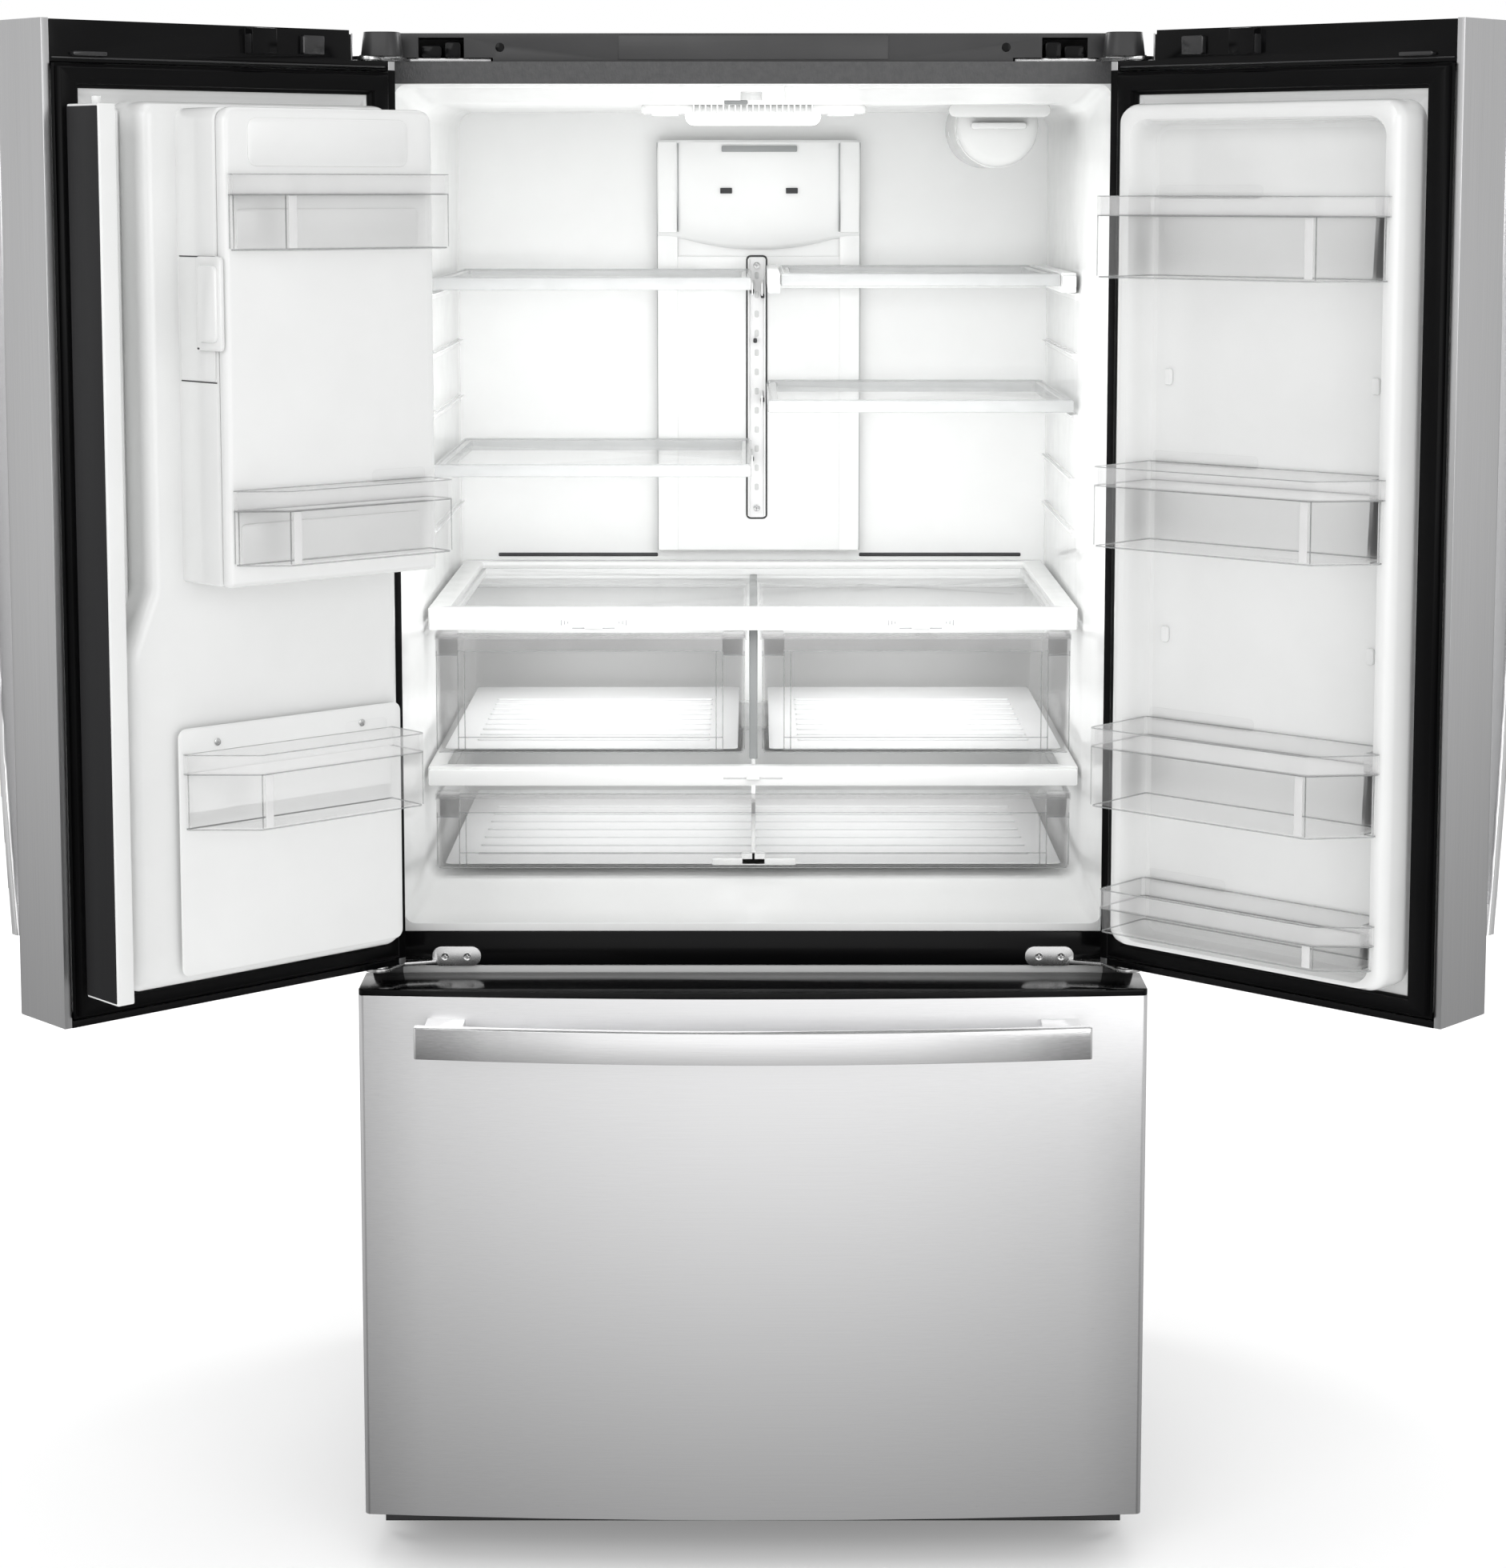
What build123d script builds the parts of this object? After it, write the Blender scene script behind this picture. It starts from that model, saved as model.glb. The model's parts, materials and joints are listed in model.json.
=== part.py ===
"""French door refrigerator: 36 inch class, bottom freezer drawer, in-door ice box.

Frame: +X to the viewer's right, front faces -Y, +Z up, floor at Z = 0.
Cabinet parts are placed from the cabinet's front plane: x across, y towards the back, z up.
Door parts are placed from the door's own frame: u from the hinge end to the free end, w from the
door's back plane towards the food side (outwards is negative), z up.
"""

import math
import os

from build123d import *

os.makedirs("parts", exist_ok=True)

# ---------------------------------------------------------------- driving dimensions (mm, degrees)
front_y = -174.0  # the cabinet's front plane in the part's frame
case_half = 448.0
case_depth = 746.0
case_low, case_top = 40.0, 1743.0
sheet = 1.5
cover_top = 1775.0
inner_half, inner_back = case_half - sheet, case_depth - sheet

throat_half, throat_low, throat_top = 412.0, 739.0, 1718.0
cavity_half, cavity_low, cavity_top, cavity_depth = 398.0, 765.0, 1700.0, 680.0
throat_depth, shoulder_depth = 76.0, 129.0  # where the cavity starts and stops narrowing
rail_half, rail_low, rail_top = 440.5, 690.0, 731.0
roller_y, roller_r = 690.0, 20.0

freezer_half, freezer_low, freezer_top, freezer_depth = 405.0, 100.0, 680.0, 700.0
step_y, step_z = 495.0, 350.0  # the freezer floor's step over the machine compartment

door_open = 137.5
door_width = 451.0
door_low, door_top = 704.0, 1776.0
cap_low = 1730.0
door_gap = 12.3  # from the closed door's back plane to the cabinet's front plane
pivot_x, pivot_y = 435.3, -41.5
pivot_u, pivot_w = 16.7, -29.2
edge_thick, free_thick = 83.0, 99.4
gasket_proud = 10.8
notch_u, notch_w, notch_z = 62.0, -78.0, 1741.0

drawer_half, drawer_low, drawer_top = 454.0, 56.5, 684.0
drawer_edge, drawer_crown = -95.0, -114.0

shelf_front, shelf_back = 215.0, 644.0
shelf_glass_thick = 4.0
crisper_front, crisper_back = 135.0, 660.0
filter_x, filter_z, filter_r = 300.0, 1675.0, 50.0
valve_x, valve_z, inlet_r = 380.0, 205.0, 5.55

cabinet = Plane(origin=(0, front_y, 0))
angle = math.radians(door_open)
hinge_point = Vector(-pivot_x, front_y + pivot_y, 0)
along = Vector(math.cos(angle), -math.sin(angle), 0)
inward = Vector(math.sin(angle), math.cos(angle), 0)
door = Plane(
    origin=hinge_point - along * pivot_u - inward * pivot_w,
    x_dir=along,
    z_dir=(0, 0, 1),
)


# ---------------------------------------------------------------- helpers
def block(x, y, z, mode=Mode.ADD):
    """A box from low and high limits, in the frame of the part being built."""
    with Locations(((x[0] + x[1]) / 2, (y[0] + y[1]) / 2, (z[0] + z[1]) / 2)):
        Box(x[1] - x[0], y[1] - y[0], z[1] - z[0], mode=mode)


def rod(centre, radius, length, turn=(0, 0, 0), mode=Mode.ADD):
    """A cylinder about its own centre; turn (90, 0, 0) lays it along y, (0, 90, 0) along x."""
    with Locations(Location(centre, turn)):
        Cylinder(radius, length, mode=mode)


def across(y):
    """The upright plane at depth y: sketch x is across, sketch y is up, and it faces the front."""
    return Plane(origin=(0, front_y + y, 0), x_dir=(1, 0, 0), z_dir=(0, -1, 0))


def side_on(x):
    """The upright plane at x: sketch x is depth from the front plane, sketch y is up."""
    return Plane(origin=(x, front_y, 0), x_dir=(0, 1, 0), z_dir=(1, 0, 0))


def door_side(u):
    """The door's upright plane at u: sketch x is w, sketch y is up."""
    return Plane(origin=door.origin + along * u, x_dir=inward, z_dir=along)


def door_face(w):
    """The door's upright plane at w: sketch x is u, sketch y is up, and it faces outwards."""
    return Plane(origin=door.origin + inward * w, x_dir=along, z_dir=-inward)


def mirror_over():
    """Turns the part being built into its mirror image in the right-hand door."""
    mirror(about=Plane.YZ, mode=Mode.REPLACE)


def both_sides():
    """Adds the mirror image of the part being built."""
    mirror(about=Plane.YZ)


def save(builder, name):
    """Labels a finished part and writes its STEP file."""
    builder.part.label = name
    export_step(builder.part, f"parts/{name}.step")
    print(name, len(builder.part.solids()), round(builder.part.volume / 1000), "cm3")


# ---------------------------------------------------------------- cabinet
with BuildPart(cabinet) as cabinet_shell:
    # two side panels with their front returns; the rail closes the gap between the compartments
    side_low, side_high = case_low + sheet, case_top - sheet
    for sign in (-1, 1):
        block(sorted((sign * (case_half - sheet), sign * case_half)), (0, case_depth), (side_low, side_high))
        block(sorted((sign * throat_half, sign * case_half)), (0, sheet), (side_low, side_high))
        block(sorted((sign * throat_half, sign * rail_half)), (-1, 5), (rail_low, rail_top), Mode.SUBTRACT)
    fillet(cabinet_shell.edges().filter_by(Axis.Z).group_by(Axis.X)[0].sort_by(Axis.Y)[0], 1)
    fillet(cabinet_shell.edges().filter_by(Axis.Z).group_by(Axis.X)[-1].sort_by(Axis.Y)[0], 1)
    # top panel and base pan, each with its front return
    block((-case_half, case_half), (0, case_depth), (side_high, case_top))
    block((0.3 - throat_half, throat_half - 0.3), (0, sheet), (throat_top, case_top))
    block((-case_half, case_half), (0, case_depth), (case_low, side_low))
    block((0.3 - throat_half, throat_half - 0.3), (0, sheet), (case_low, freezer_low))
    # back panel, open over the machine compartment
    back = (case_depth - sheet, case_depth)
    block((0.3 - inner_half, inner_half - 0.3), back, (side_low + 0.3, side_high - 0.3))
    block((-430, 430), (case_depth - 9, case_depth + 1), (case_low + 12, 300), Mode.SUBTRACT)
    # ears under the rear corners that hold the rollers' axle
    for near in (380, 416):
        for sign in (-1, 1):
            block(sorted((sign * near, sign * (near + 4))), (672, 708), (10, case_low))
    rod((0, roller_y, roller_r), 4.08, 900, (0, 90, 0), Mode.SUBTRACT)
save(cabinet_shell, "cabinet_shell")

rail_pocket = ((-inner_half - 1, inner_half + 1), (-1, 40), (rail_low, rail_top))


def cavity_outline(y, half, low, high, radius):
    """A rounded section of the fresh-food cavity at depth y."""
    with BuildSketch(across(y)) as outline:
        with Locations((0, (low + high) / 2)):
            RectangleRounded(2 * half, high - low, radius)
    return outline.sketch


with BuildPart(cabinet) as fresh_food_liner:
    block((-inner_half, inner_half), (sheet, inner_back), (705, case_top - sheet))
    block((-throat_half, throat_half), (0, 9), (rail_top, throat_top))
    mouth = cavity_outline(-1, throat_half - 2.5, throat_low + 1.5, throat_top - 1.5, 14)
    throat = cavity_outline(throat_depth, throat_half - 4, throat_low + 2.5, throat_top - 2.5, 16)
    shoulder = cavity_outline(shoulder_depth, cavity_half, cavity_low, cavity_top, 22)
    loft([mouth, throat], mode=Mode.SUBTRACT)
    loft([throat, shoulder], mode=Mode.SUBTRACT)
    extrude(shoulder, amount=shoulder_depth - cavity_depth, mode=Mode.SUBTRACT)
    block(*rail_pocket, Mode.SUBTRACT)
    # rows of moulded ribs that carry the shelves
    for rib_z in (1180, 1244, 1323, 1398, 1472):
        for sign in (-1, 1):
            x = sorted((sign * (cavity_half + 1), sign * (cavity_half - 4)))
            block(x, (235, 640), (rib_z - 9, rib_z))
    # the ceiling pocket that the water filter twists into
    rod((filter_x, 397, filter_z), filter_r + 2, 294, (90, 0, 0), Mode.SUBTRACT)
    # the block in the ceiling that turns the flipper as the left door closes
    block((-36, 36), (3, 58), (1699, throat_top - 0.5))
    block((-14, 10), (2, 40), (1698, 1709), Mode.SUBTRACT)
save(fresh_food_liner, "fresh_food_liner")

with BuildPart(cabinet) as freezer_liner:
    with BuildSketch(side_on(-inner_half)):
        with BuildLine():
            Polyline(
                (sheet, case_low + 20),
                (540, case_low + 20),
                (540, 312),
                (inner_back, 312),
                (inner_back, 704.5),
                (sheet, 704.5),
                close=True,
            )
        make_face()
    extrude(amount=2 * inner_half)
    with BuildSketch(side_on(-freezer_half)):
        with BuildLine():
            Polyline(
                (-1, freezer_low + 3),
                (step_y, freezer_low + 3),
                (step_y, step_z),
                (freezer_depth, step_z),
                (freezer_depth, freezer_top),
                (-1, freezer_top),
                close=True,
            )
        make_face()
    extrude(amount=2 * freezer_half, mode=Mode.SUBTRACT)
    block(*rail_pocket, Mode.SUBTRACT)
save(freezer_liner, "freezer_liner")

with BuildPart(cabinet) as mullion_rail:
    block((0.5 - rail_half, rail_half - 0.5), (-1, 39.5), (rail_low + 0.3, rail_top - 0.3))
    block((-434, 434), (3, 45), (rail_low + 6, rail_top - 6), Mode.SUBTRACT)
save(mullion_rail, "mullion_rail")

with BuildPart(cabinet) as hinge_cover_bar:
    block((-405, 405), (2, 96), (case_top, cover_top))
    block((-402, 402), (5, 93), (case_top - 1, cover_top - 3), Mode.SUBTRACT)
    block((-154, 155), (1.2, 2), (case_top + 2, cover_top - 2))
    for sign in (-1, 1):
        x = sorted((sign * 330, sign * 382))
        block(x, (-1, 9), (case_top + 3, cover_top - 5), Mode.SUBTRACT)
        rod((sign * 289, 3, 1759), 4.5, 12, (90, 0, 0), Mode.SUBTRACT)
        block(sorted((sign * 297, sign * 432)), (-1, 84), (case_top - 1, case_top + 4.2), Mode.SUBTRACT)
    # domed caps over the hinge arms
    for sign in (-1, 1):
        with BuildSketch(Plane.XY.offset(case_top + 4.2)):
            with Locations((sign * (pivot_x - 16), front_y - 34)):
                RectangleRounded(46, 54, 17)
        extrude(amount=27, taper=7)
save(hinge_cover_bar, "hinge_cover_bar")

with BuildPart(cabinet) as top_hinges:
    with BuildSketch(Plane.XY.offset(case_top)):
        with BuildLine():
            Polyline(
                (-300, front_y + 80),
                (-300, front_y + 14),
                (-392, front_y + 10),
                (-418, front_y - 42),
                (-446, front_y - 42),
                (-446, front_y + 12),
                (-430, front_y + 80),
                close=True,
            )
        make_face()
        with Locations((-pivot_x, front_y + pivot_y)):
            Circle(17)
    extrude(amount=4)
    rod((-pivot_x, pivot_y, case_top - 9.5), 6, 23)
    rod((-pivot_x, pivot_y, case_top - 0.5), 11, 1.0)
    both_sides()
save(top_hinges, "top_hinges")

with BuildPart(cabinet) as lower_hinges:
    with BuildSketch(across(-1)):
        with Locations((-348.5, 701.6)):
            RectangleRounded(57, 23, 11)
    extrude(amount=3)
    with BuildSketch(Plane.XY.offset(694)):
        with BuildLine():
            Polyline(
                (-372, front_y - 2),
                (-446, front_y - 2),
                (-449, front_y - 42),
                (-421, front_y - 46),
                (-408, front_y - 22),
                (-372, front_y - 10),
                close=True,
            )
        make_face()
        with Locations((-pivot_x, front_y + pivot_y)):
            Circle(16)
    extrude(amount=4)
    rod((-pivot_x, pivot_y, 707), 6, 20)
    rod((-pivot_x, pivot_y, 700), 11, 4)
    both_sides()
save(lower_hinges, "lower_hinges")

with BuildPart(cabinet) as cabinet_screws:
    # two in each lower hinge plate, two in the cover bar, four in the machine compartment cover
    for x in (-362, -336, 336, 362):
        rod((x, -5.1, 701.6), 4.2, 2.2, (90, 0, 0))
    for x in (-289, 289):
        rod((x, 4.5, 1759), 4.0, 2.6, (90, 0, 0))
    for x in (-438, 438):
        for z in (70, 285):
            rod((x, case_depth + 2.7, z), 4.2, 2.4, (90, 0, 0))
save(cabinet_screws, "cabinet_screws")

with BuildPart(cabinet) as air_tower:
    block((-129, 144), (655, cavity_depth), (1108, 1663))
    with BuildSketch(side_on(-129)):
        with BuildLine():
            Polyline((655, 1663), (655, 1512), (641, 1550), (636, 1600), (640, 1650), close=True)
        make_face()
    extrude(amount=273)
    block((-42, 59), (630, 660), (1648, 1656), Mode.SUBTRACT)
    for x in (-44, 44):
        block((x, x + 16), (630, 660), (1592, 1600), Mode.SUBTRACT)
save(air_tower, "air_tower")

with BuildPart(cabinet) as ceiling_lamp:
    block((-137, 138), (240, 330), (1689, cavity_top))
    block((-83, 83), (246, 324), (1676, 1689))
    fillet(ceiling_lamp.faces().sort_by(Axis.Z)[0].edges(), 4)
save(ceiling_lamp, "ceiling_lamp")

with BuildPart(cabinet) as water_filter:
    rod((filter_x, 401, filter_z), filter_r, 278, (90, 0, 0))
    fillet(water_filter.faces().sort_by(Axis.Y)[0].edges(), 9)
    block((filter_x - 34, filter_x + 34), (252, 263), (filter_z - 4, filter_z + 4))
save(water_filter, "water_filter")

with BuildPart(cabinet) as shelf_track:
    block((-7, 17), (646, 655), (1155, 1507))
    for k in range(12):
        block((1, 9), (640, 660), (1190 + 26 * k, 1204 + 26 * k), Mode.SUBTRACT)
save(shelf_track, "shelf_track")


# ---------------------------------------------------------------- shelves
def shelf_frame(x, z, front=shelf_front, back=shelf_back):
    """A shelf's moulded rim, open in the middle for the glass, with a deeper front edge."""
    block(x, (front, back), (z - 12, z + 3))
    block((x[0] + 12, x[1] - 12), (front + 14, back - 14), (z - 13, z + 4), Mode.SUBTRACT)
    block(x, (front - 3, front + 2), (z - 16, z + 4))


def shelf_glass(x, z, front=shelf_front, back=shelf_back):
    """The pane that lies inside a shelf's rim."""
    block((x[0] + 12, x[1] - 12), (front + 14, back - 14), (z - 4, z - 4 + shelf_glass_thick))


fixed_shelves = [((-392, -2), 1487.0), ((-392, -2), 1259.0), ((18, 392), 1338.0)]

with BuildPart(cabinet) as shelf_frames:
    for shelf_x, shelf_z in fixed_shelves:
        shelf_frame(shelf_x, shelf_z)
    # the carrier that the slide-out shelf runs in
    for x in ((18, 33.2), (374.8, 393.5)):
        block(x, (shelf_front + 4, shelf_back), (1472.5, 1497))
    block((19, 393), (shelf_back - 12, shelf_back), (1466, 1474))
    for x in ((19, 48), (362, 393)):
        block(x, (230, shelf_back), (1468, 1475))
save(shelf_frames, "shelf_frames")

with BuildPart(cabinet) as shelf_panes:
    for shelf_x, shelf_z in fixed_shelves:
        shelf_glass(shelf_x, shelf_z)
    block((-366, 366), (160, 632), (1088, 1092))
save(shelf_panes, "shelf_panes")

with BuildPart(cabinet) as slide_shelf:
    shelf_frame((34, 374), 1492, back=shelf_back - 1)
    block((46, 362), (shelf_front + 14, shelf_back - 15), (1488, 1492))
save(slide_shelf, "slide_shelf")

# ---------------------------------------------------------------- crispers and deli pan
with BuildPart(cabinet) as crisper_cover:
    block((-392, 392), (crisper_front, 660), (1074, 1096))
    block((-366, 366), (160, 632), (1070, 1097), Mode.SUBTRACT)
    block((-390, 390), (crisper_front - 4, crisper_front + 4), (1070, 1096))
    # narrow ledges that carry the pane
    block((-366, 366), (160, 166), (1080, 1088))
    block((-366, 366), (626, 632), (1080, 1088))
    # grooves that the humidity sliders run in
    for x in (-192, 202):
        block((x - 26, x + 26), (crisper_front - 5, crisper_front + 1), (1071.5, 1082), Mode.SUBTRACT)
    # centre post between the crispers
    block((-4.6, 5.6), (160, 640), (908, 1080))
save(crisper_cover, "crisper_cover")

with BuildPart(cabinet) as deli_cover:
    block((-394, 394), (crisper_front, 660), (884, 902))
    block((-372, 372), (160, 640), (888, 903), Mode.SUBTRACT)
    block((-393, 393), (crisper_front - 4, crisper_front + 4), (880, 900))
    block((-22, 22), (crisper_front - 5, crisper_front + 1), (886, 894), Mode.SUBTRACT)
save(deli_cover, "deli_cover")


def pan(x, y, z, wall=2.5, deep_front=0.0):
    """An open-topped drawer box."""
    block(x, y, z)
    block((x[0] + wall, x[1] - wall), (y[0] + wall + deep_front, y[1] - wall), (z[0] + wall, z[1] + 1), Mode.SUBTRACT)


def crisper(x):
    """A clear drawer box with a tall front and side runners."""
    pan(x, (crisper_front, crisper_back - 12), (920, 1066), deep_front=3)
    block((x[0] - 2, x[1] + 2), (crisper_front - 3, crisper_front + 4), (1034, 1068))
    block((x[0] - 2, x[0] + 1.5), (crisper_front, crisper_back - 12), (1058, 1066))
    block((x[1] - 1.5, x[1] + 2), (crisper_front, crisper_back - 12), (1058, 1066))


with BuildPart(cabinet) as left_crisper:
    crisper((-383, -9.5))
save(left_crisper, "left_crisper")

with BuildPart(cabinet) as right_crisper:
    crisper((10.5, 383))
save(right_crisper, "right_crisper")

with BuildPart(cabinet) as deli_pan:
    pan((-384, 384), (crisper_front, crisper_back - 12), (778, 870), deep_front=3)
    block((-386, 386), (crisper_front - 3, crisper_front + 4), (846, 872))
    block((-2, 3), (crisper_front + 4, crisper_back - 16), (779, 858))
save(deli_pan, "deli_pan")


def slider(x, z, half):
    """A finger tab in a groove of a cover's front band."""
    block((x - half, x + half), (crisper_front - 9, crisper_front - 4.3), (z - 3.5, z + 3.5))
    block((x - half + 2, x + half - 2), (crisper_front - 4.6, crisper_front + 0.7), (z - 3.2, z + 3.2))


with BuildPart(cabinet) as left_humidity_slider:
    slider(-192, 1076.8, 8)
save(left_humidity_slider, "left_humidity_slider")

with BuildPart(cabinet) as right_humidity_slider:
    slider(202, 1076.8, 8)
save(right_humidity_slider, "right_humidity_slider")

with BuildPart(cabinet) as deli_slider:
    slider(0, 890, 6)
save(deli_slider, "deli_slider")

# ---------------------------------------------------------------- machine side, feet
with BuildPart(cabinet) as cooling_circuit:
    # compressor can
    with BuildSketch(Plane.XY.offset(62)):
        with Locations((-250, front_y + 645)):
            Ellipse(88, 66)
    extrude(amount=150)
    fillet(cooling_circuit.edges(), 18)
    # condenser coil
    block((60, 330), (600, 690), (62, 240))
    # evaporator behind the freezer baskets
    block((-300, 300), (662, 696), (372, 640))
save(cooling_circuit, "cooling_circuit")

with BuildPart(cabinet) as condenser_fan:
    rod((-60, 640, 150), 18, 30, (90, 0, 0))
    for k in range(5):
        with Locations(Location((-60, 640, 150), (0, 72 * k, 0))):
            with Locations(Location((0, 0, 44), (0, 0, 28))):
                Box(34, 4, 62)
save(condenser_fan, "condenser_fan")

with BuildPart(cabinet) as rear_cover:
    block((-446, 446), (case_depth + 0.2, case_depth + 1.5), (44, 309))
    for row in range(6):
        for column in range(9):
            x = -360 + 90 * column
            z = 100 + 30 * row
            block((x - 30, x + 30), (case_depth - 1, case_depth + 3), (z - 4, z + 4), Mode.SUBTRACT)
    rod((valve_x, case_depth, valve_z), 8, 20, (90, 0, 0), Mode.SUBTRACT)
save(rear_cover, "rear_cover")

with BuildPart(cabinet) as water_valve:
    block((valve_x - 24, valve_x + 24), (700, 742), (valve_z - 22, valve_z + 22))
    # inlet stub for a compression nut
    rod((valve_x, 751, valve_z), inlet_r, 18, (90, 0, 0))
    rod((valve_x, 751, valve_z), 2.5, 19, (90, 0, 0), Mode.SUBTRACT)
save(water_valve, "water_valve")

with BuildPart(cabinet) as base_grille:
    # set back behind the drawer front, where it can't be seen from above
    block((-440, 440), (-8, -0.4), (12, 50))
    for k in range(21):
        x = -400 + 40 * k
        block((x - 14, x + 14), (-10, 1), (20, 26), Mode.SUBTRACT)
        block((x - 14, x + 14), (-10, 1), (34, 40), Mode.SUBTRACT)
save(base_grille, "base_grille")


for side, leg_x in (("left", -390), ("right", 390)):
    # a round foot on a threaded stem
    with BuildPart(cabinet) as levelling_leg:
        rod((leg_x, 60, 6), 19, 12)
        fillet(levelling_leg.edges().sort_by(Axis.Z)[-1], 2)
        rod((leg_x, 60, 26), 7, 28)
    save(levelling_leg, f"{side}_levelling_leg")

with BuildPart(cabinet) as rear_rollers:
    for x in (-400, 400):
        rod((x, roller_y, roller_r), roller_r, 24, (0, 90, 0))
    rod((0, roller_y, roller_r), 4, 850, (0, 90, 0))
save(rear_rollers, "rear_rollers")


# ---------------------------------------------------------------- freezer drawer
def drawer_outline(height, inset):
    """The bowed outline of the freezer front, seen from above, at a height."""
    half = drawer_half - inset
    side = front_y + drawer_edge + inset
    with BuildSketch(Plane.XY.offset(height)) as outline:
        with BuildLine():
            ThreePointArc((-half, side), (0, front_y + drawer_crown + inset), (half, side))
            Polyline((half, side), (half, front_y - door_gap), (-half, front_y - door_gap), (-half, side))
        make_face()
        fillet(outline.vertices().group_by(Axis.Y)[0], 7 - inset)
    return outline.sketch


with BuildPart(cabinet) as freezer_front_skin:
    extrude(drawer_outline(drawer_low, 0), amount=drawer_top - 7 - drawer_low)
    extrude(drawer_outline(drawer_low - 1, sheet), amount=drawer_top, mode=Mode.SUBTRACT)
save(freezer_front_skin, "freezer_front_skin")

with BuildPart(cabinet) as freezer_front_caps:
    extrude(drawer_outline(drawer_top - 7, 0), amount=7)
    extrude(drawer_outline(drawer_low + 0.5, sheet + 0.2), amount=6)
save(freezer_front_caps, "freezer_front_caps")

with BuildPart(cabinet) as freezer_door_liner:
    extrude(drawer_outline(drawer_low + 7, sheet + 0.2), amount=drawer_top - 7.5 - drawer_low - 7)
    # the raised panel that plugs the freezer's mouth
    block((-370, 370), (-door_gap, 8), (130, 650))
save(freezer_door_liner, "freezer_door_liner")


def ring(x, z, y, band):
    """A flat frame in the plane of the cabinet's front."""
    block(x, y, z)
    block((x[0] + band, x[1] - band), (y[0] - 1, y[1] + 1), (z[0] + band, z[1] - band), Mode.SUBTRACT)


with BuildPart(cabinet) as freezer_gasket:
    ring((-440, 440), (70, 679), (-door_gap, -door_gap + gasket_proud), 24)
save(freezer_gasket, "freezer_gasket")

with BuildPart(cabinet) as freezer_handle:
    with BuildSketch(Plane.XY.offset(620)):
        with BuildLine():
            ThreePointArc((-384, front_y - 163), (0, front_y - 190), (384, front_y - 163))
            Polyline((384, front_y - 163), (384, front_y - 147))
            ThreePointArc((384, front_y - 147), (0, front_y - 174), (-384, front_y - 147))
            Polyline((-384, front_y - 147), (-384, front_y - 163))
        make_face()
    extrude(amount=36)
    fillet(freezer_handle.edges().filter_by(Axis.Z), 4)
    for sign in (-1, 1):
        x = sorted((sign * 330, sign * 374))
        block(x, (-152, drawer_edge), (624, 652))
    extrude(drawer_outline(610, 0), amount=60, mode=Mode.SUBTRACT)
save(freezer_handle, "freezer_handle")

with BuildPart(cabinet) as lower_basket:
    pan((-372, 372), (12, 470), (112, 330), wall=4)
    for sign in (-1, 1):
        x = sorted((sign * 372, sign * 390))
        block(x, (12, 470), (250, 262))
    block((-372, 372), (8.2, 12), (140, 300))
save(lower_basket, "lower_basket")

with BuildPart(cabinet) as upper_basket:
    pan((-378, 378), (40, 560), (385, 560), wall=4)
    for sign in (-1, 1):
        block(sorted((sign * 377, sign * 398)), (40, 560), (385, 392))
save(upper_basket, "upper_basket")

with BuildPart(cabinet) as freezer_slides:
    # fixed outer members on the freezer's side walls
    for sign in (-1, 1):
        x = sorted((sign * freezer_half, sign * 392))
        block(x, (12, 480), (262.4, 290))
        x = sorted((sign * freezer_half, sign * 380))
        block(x, (30, 600), (372, 384.6))
save(freezer_slides, "freezer_slides")


# ---------------------------------------------------------------- doors
def door_front(u):
    """The depth of the door's bowed outer face at u: one curve runs across both doors."""
    return -free_thick + (free_thick - edge_thick) * ((door_width - u) / door_width) ** 2


def door_outline(height, inset, back=0.0):
    """The door's outline seen from above, at a height, drawn in the door's frame."""
    low, high = inset, door_width - inset
    hinge_end = (low, door_front(0) + inset)
    free_end = (high, door_front(door_width) + inset)
    with BuildSketch(door.offset(height)) as outline:
        with BuildLine():
            ThreePointArc(hinge_end, (door_width / 2, door_front(door_width / 2) + inset), free_end)
            Polyline(free_end, (high, back), (low, back), hinge_end)
        make_face()
        fillet([v for v in outline.vertices() if v.Y < -40], 12 - inset)
    return outline.sketch


dispenser_u, dispenser_z = (140.0, 320.0), (1060.0, 1440.0)


def door_skin(window):
    """The stainless wrap: outer face, both sides and narrow back returns."""
    extrude(door_outline(door_low + 1, 0), amount=door_top - 2 - door_low)
    extrude(door_outline(door_low, sheet, -sheet), amount=door_top - door_low, mode=Mode.SUBTRACT)
    block((9, door_width - 9), (-10, 5), (door_low, door_top), Mode.SUBTRACT)
    # room for the top hinge's arm
    block((-5, notch_u), (notch_w, 5), (notch_z, door_top + 5), Mode.SUBTRACT)
    if window:
        block(dispenser_u, (-120, -70), dispenser_z, Mode.SUBTRACT)


def door_caps():
    """Black end caps: the top one has a pocket at the hinge and stops on its back face."""
    extrude(door_outline(cap_low, sheet + 0.2, -sheet - 0.2), amount=door_top - 2 - cap_low)
    block((9.3, door_width - 9.3), (-3, 0), (cap_low, door_top - 2))
    block((-5, notch_u), (notch_w, 5), (notch_z, door_top + 5), Mode.SUBTRACT)
    extrude(door_outline(door_low + 0.5, sheet + 0.2, -sheet - 0.2), amount=7.5)
    block((9.3, door_width - 9.3), (-3, 0), (door_low + 0.5, door_low + 8))
    # stops and ribs on the top cap's back face
    block((168, 200), (-4, 14), (1744.5, 1772))
    block((100, 128), (-4, 6), (1746, 1766))
    block((door_width - 74, door_width - 34), (-4, 7), (1737, 1741))
    # bumper under the free end
    block((door_width - 60, door_width - 14), (-60, -20), (door_low - 5, door_low + 2))
    # hinge pin sockets
    rod((pivot_u, pivot_w, notch_z - 10), 6.06, 40, mode=Mode.SUBTRACT)
    rod((pivot_u, pivot_w, door_low + 8), 6.06, 30, mode=Mode.SUBTRACT)


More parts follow.
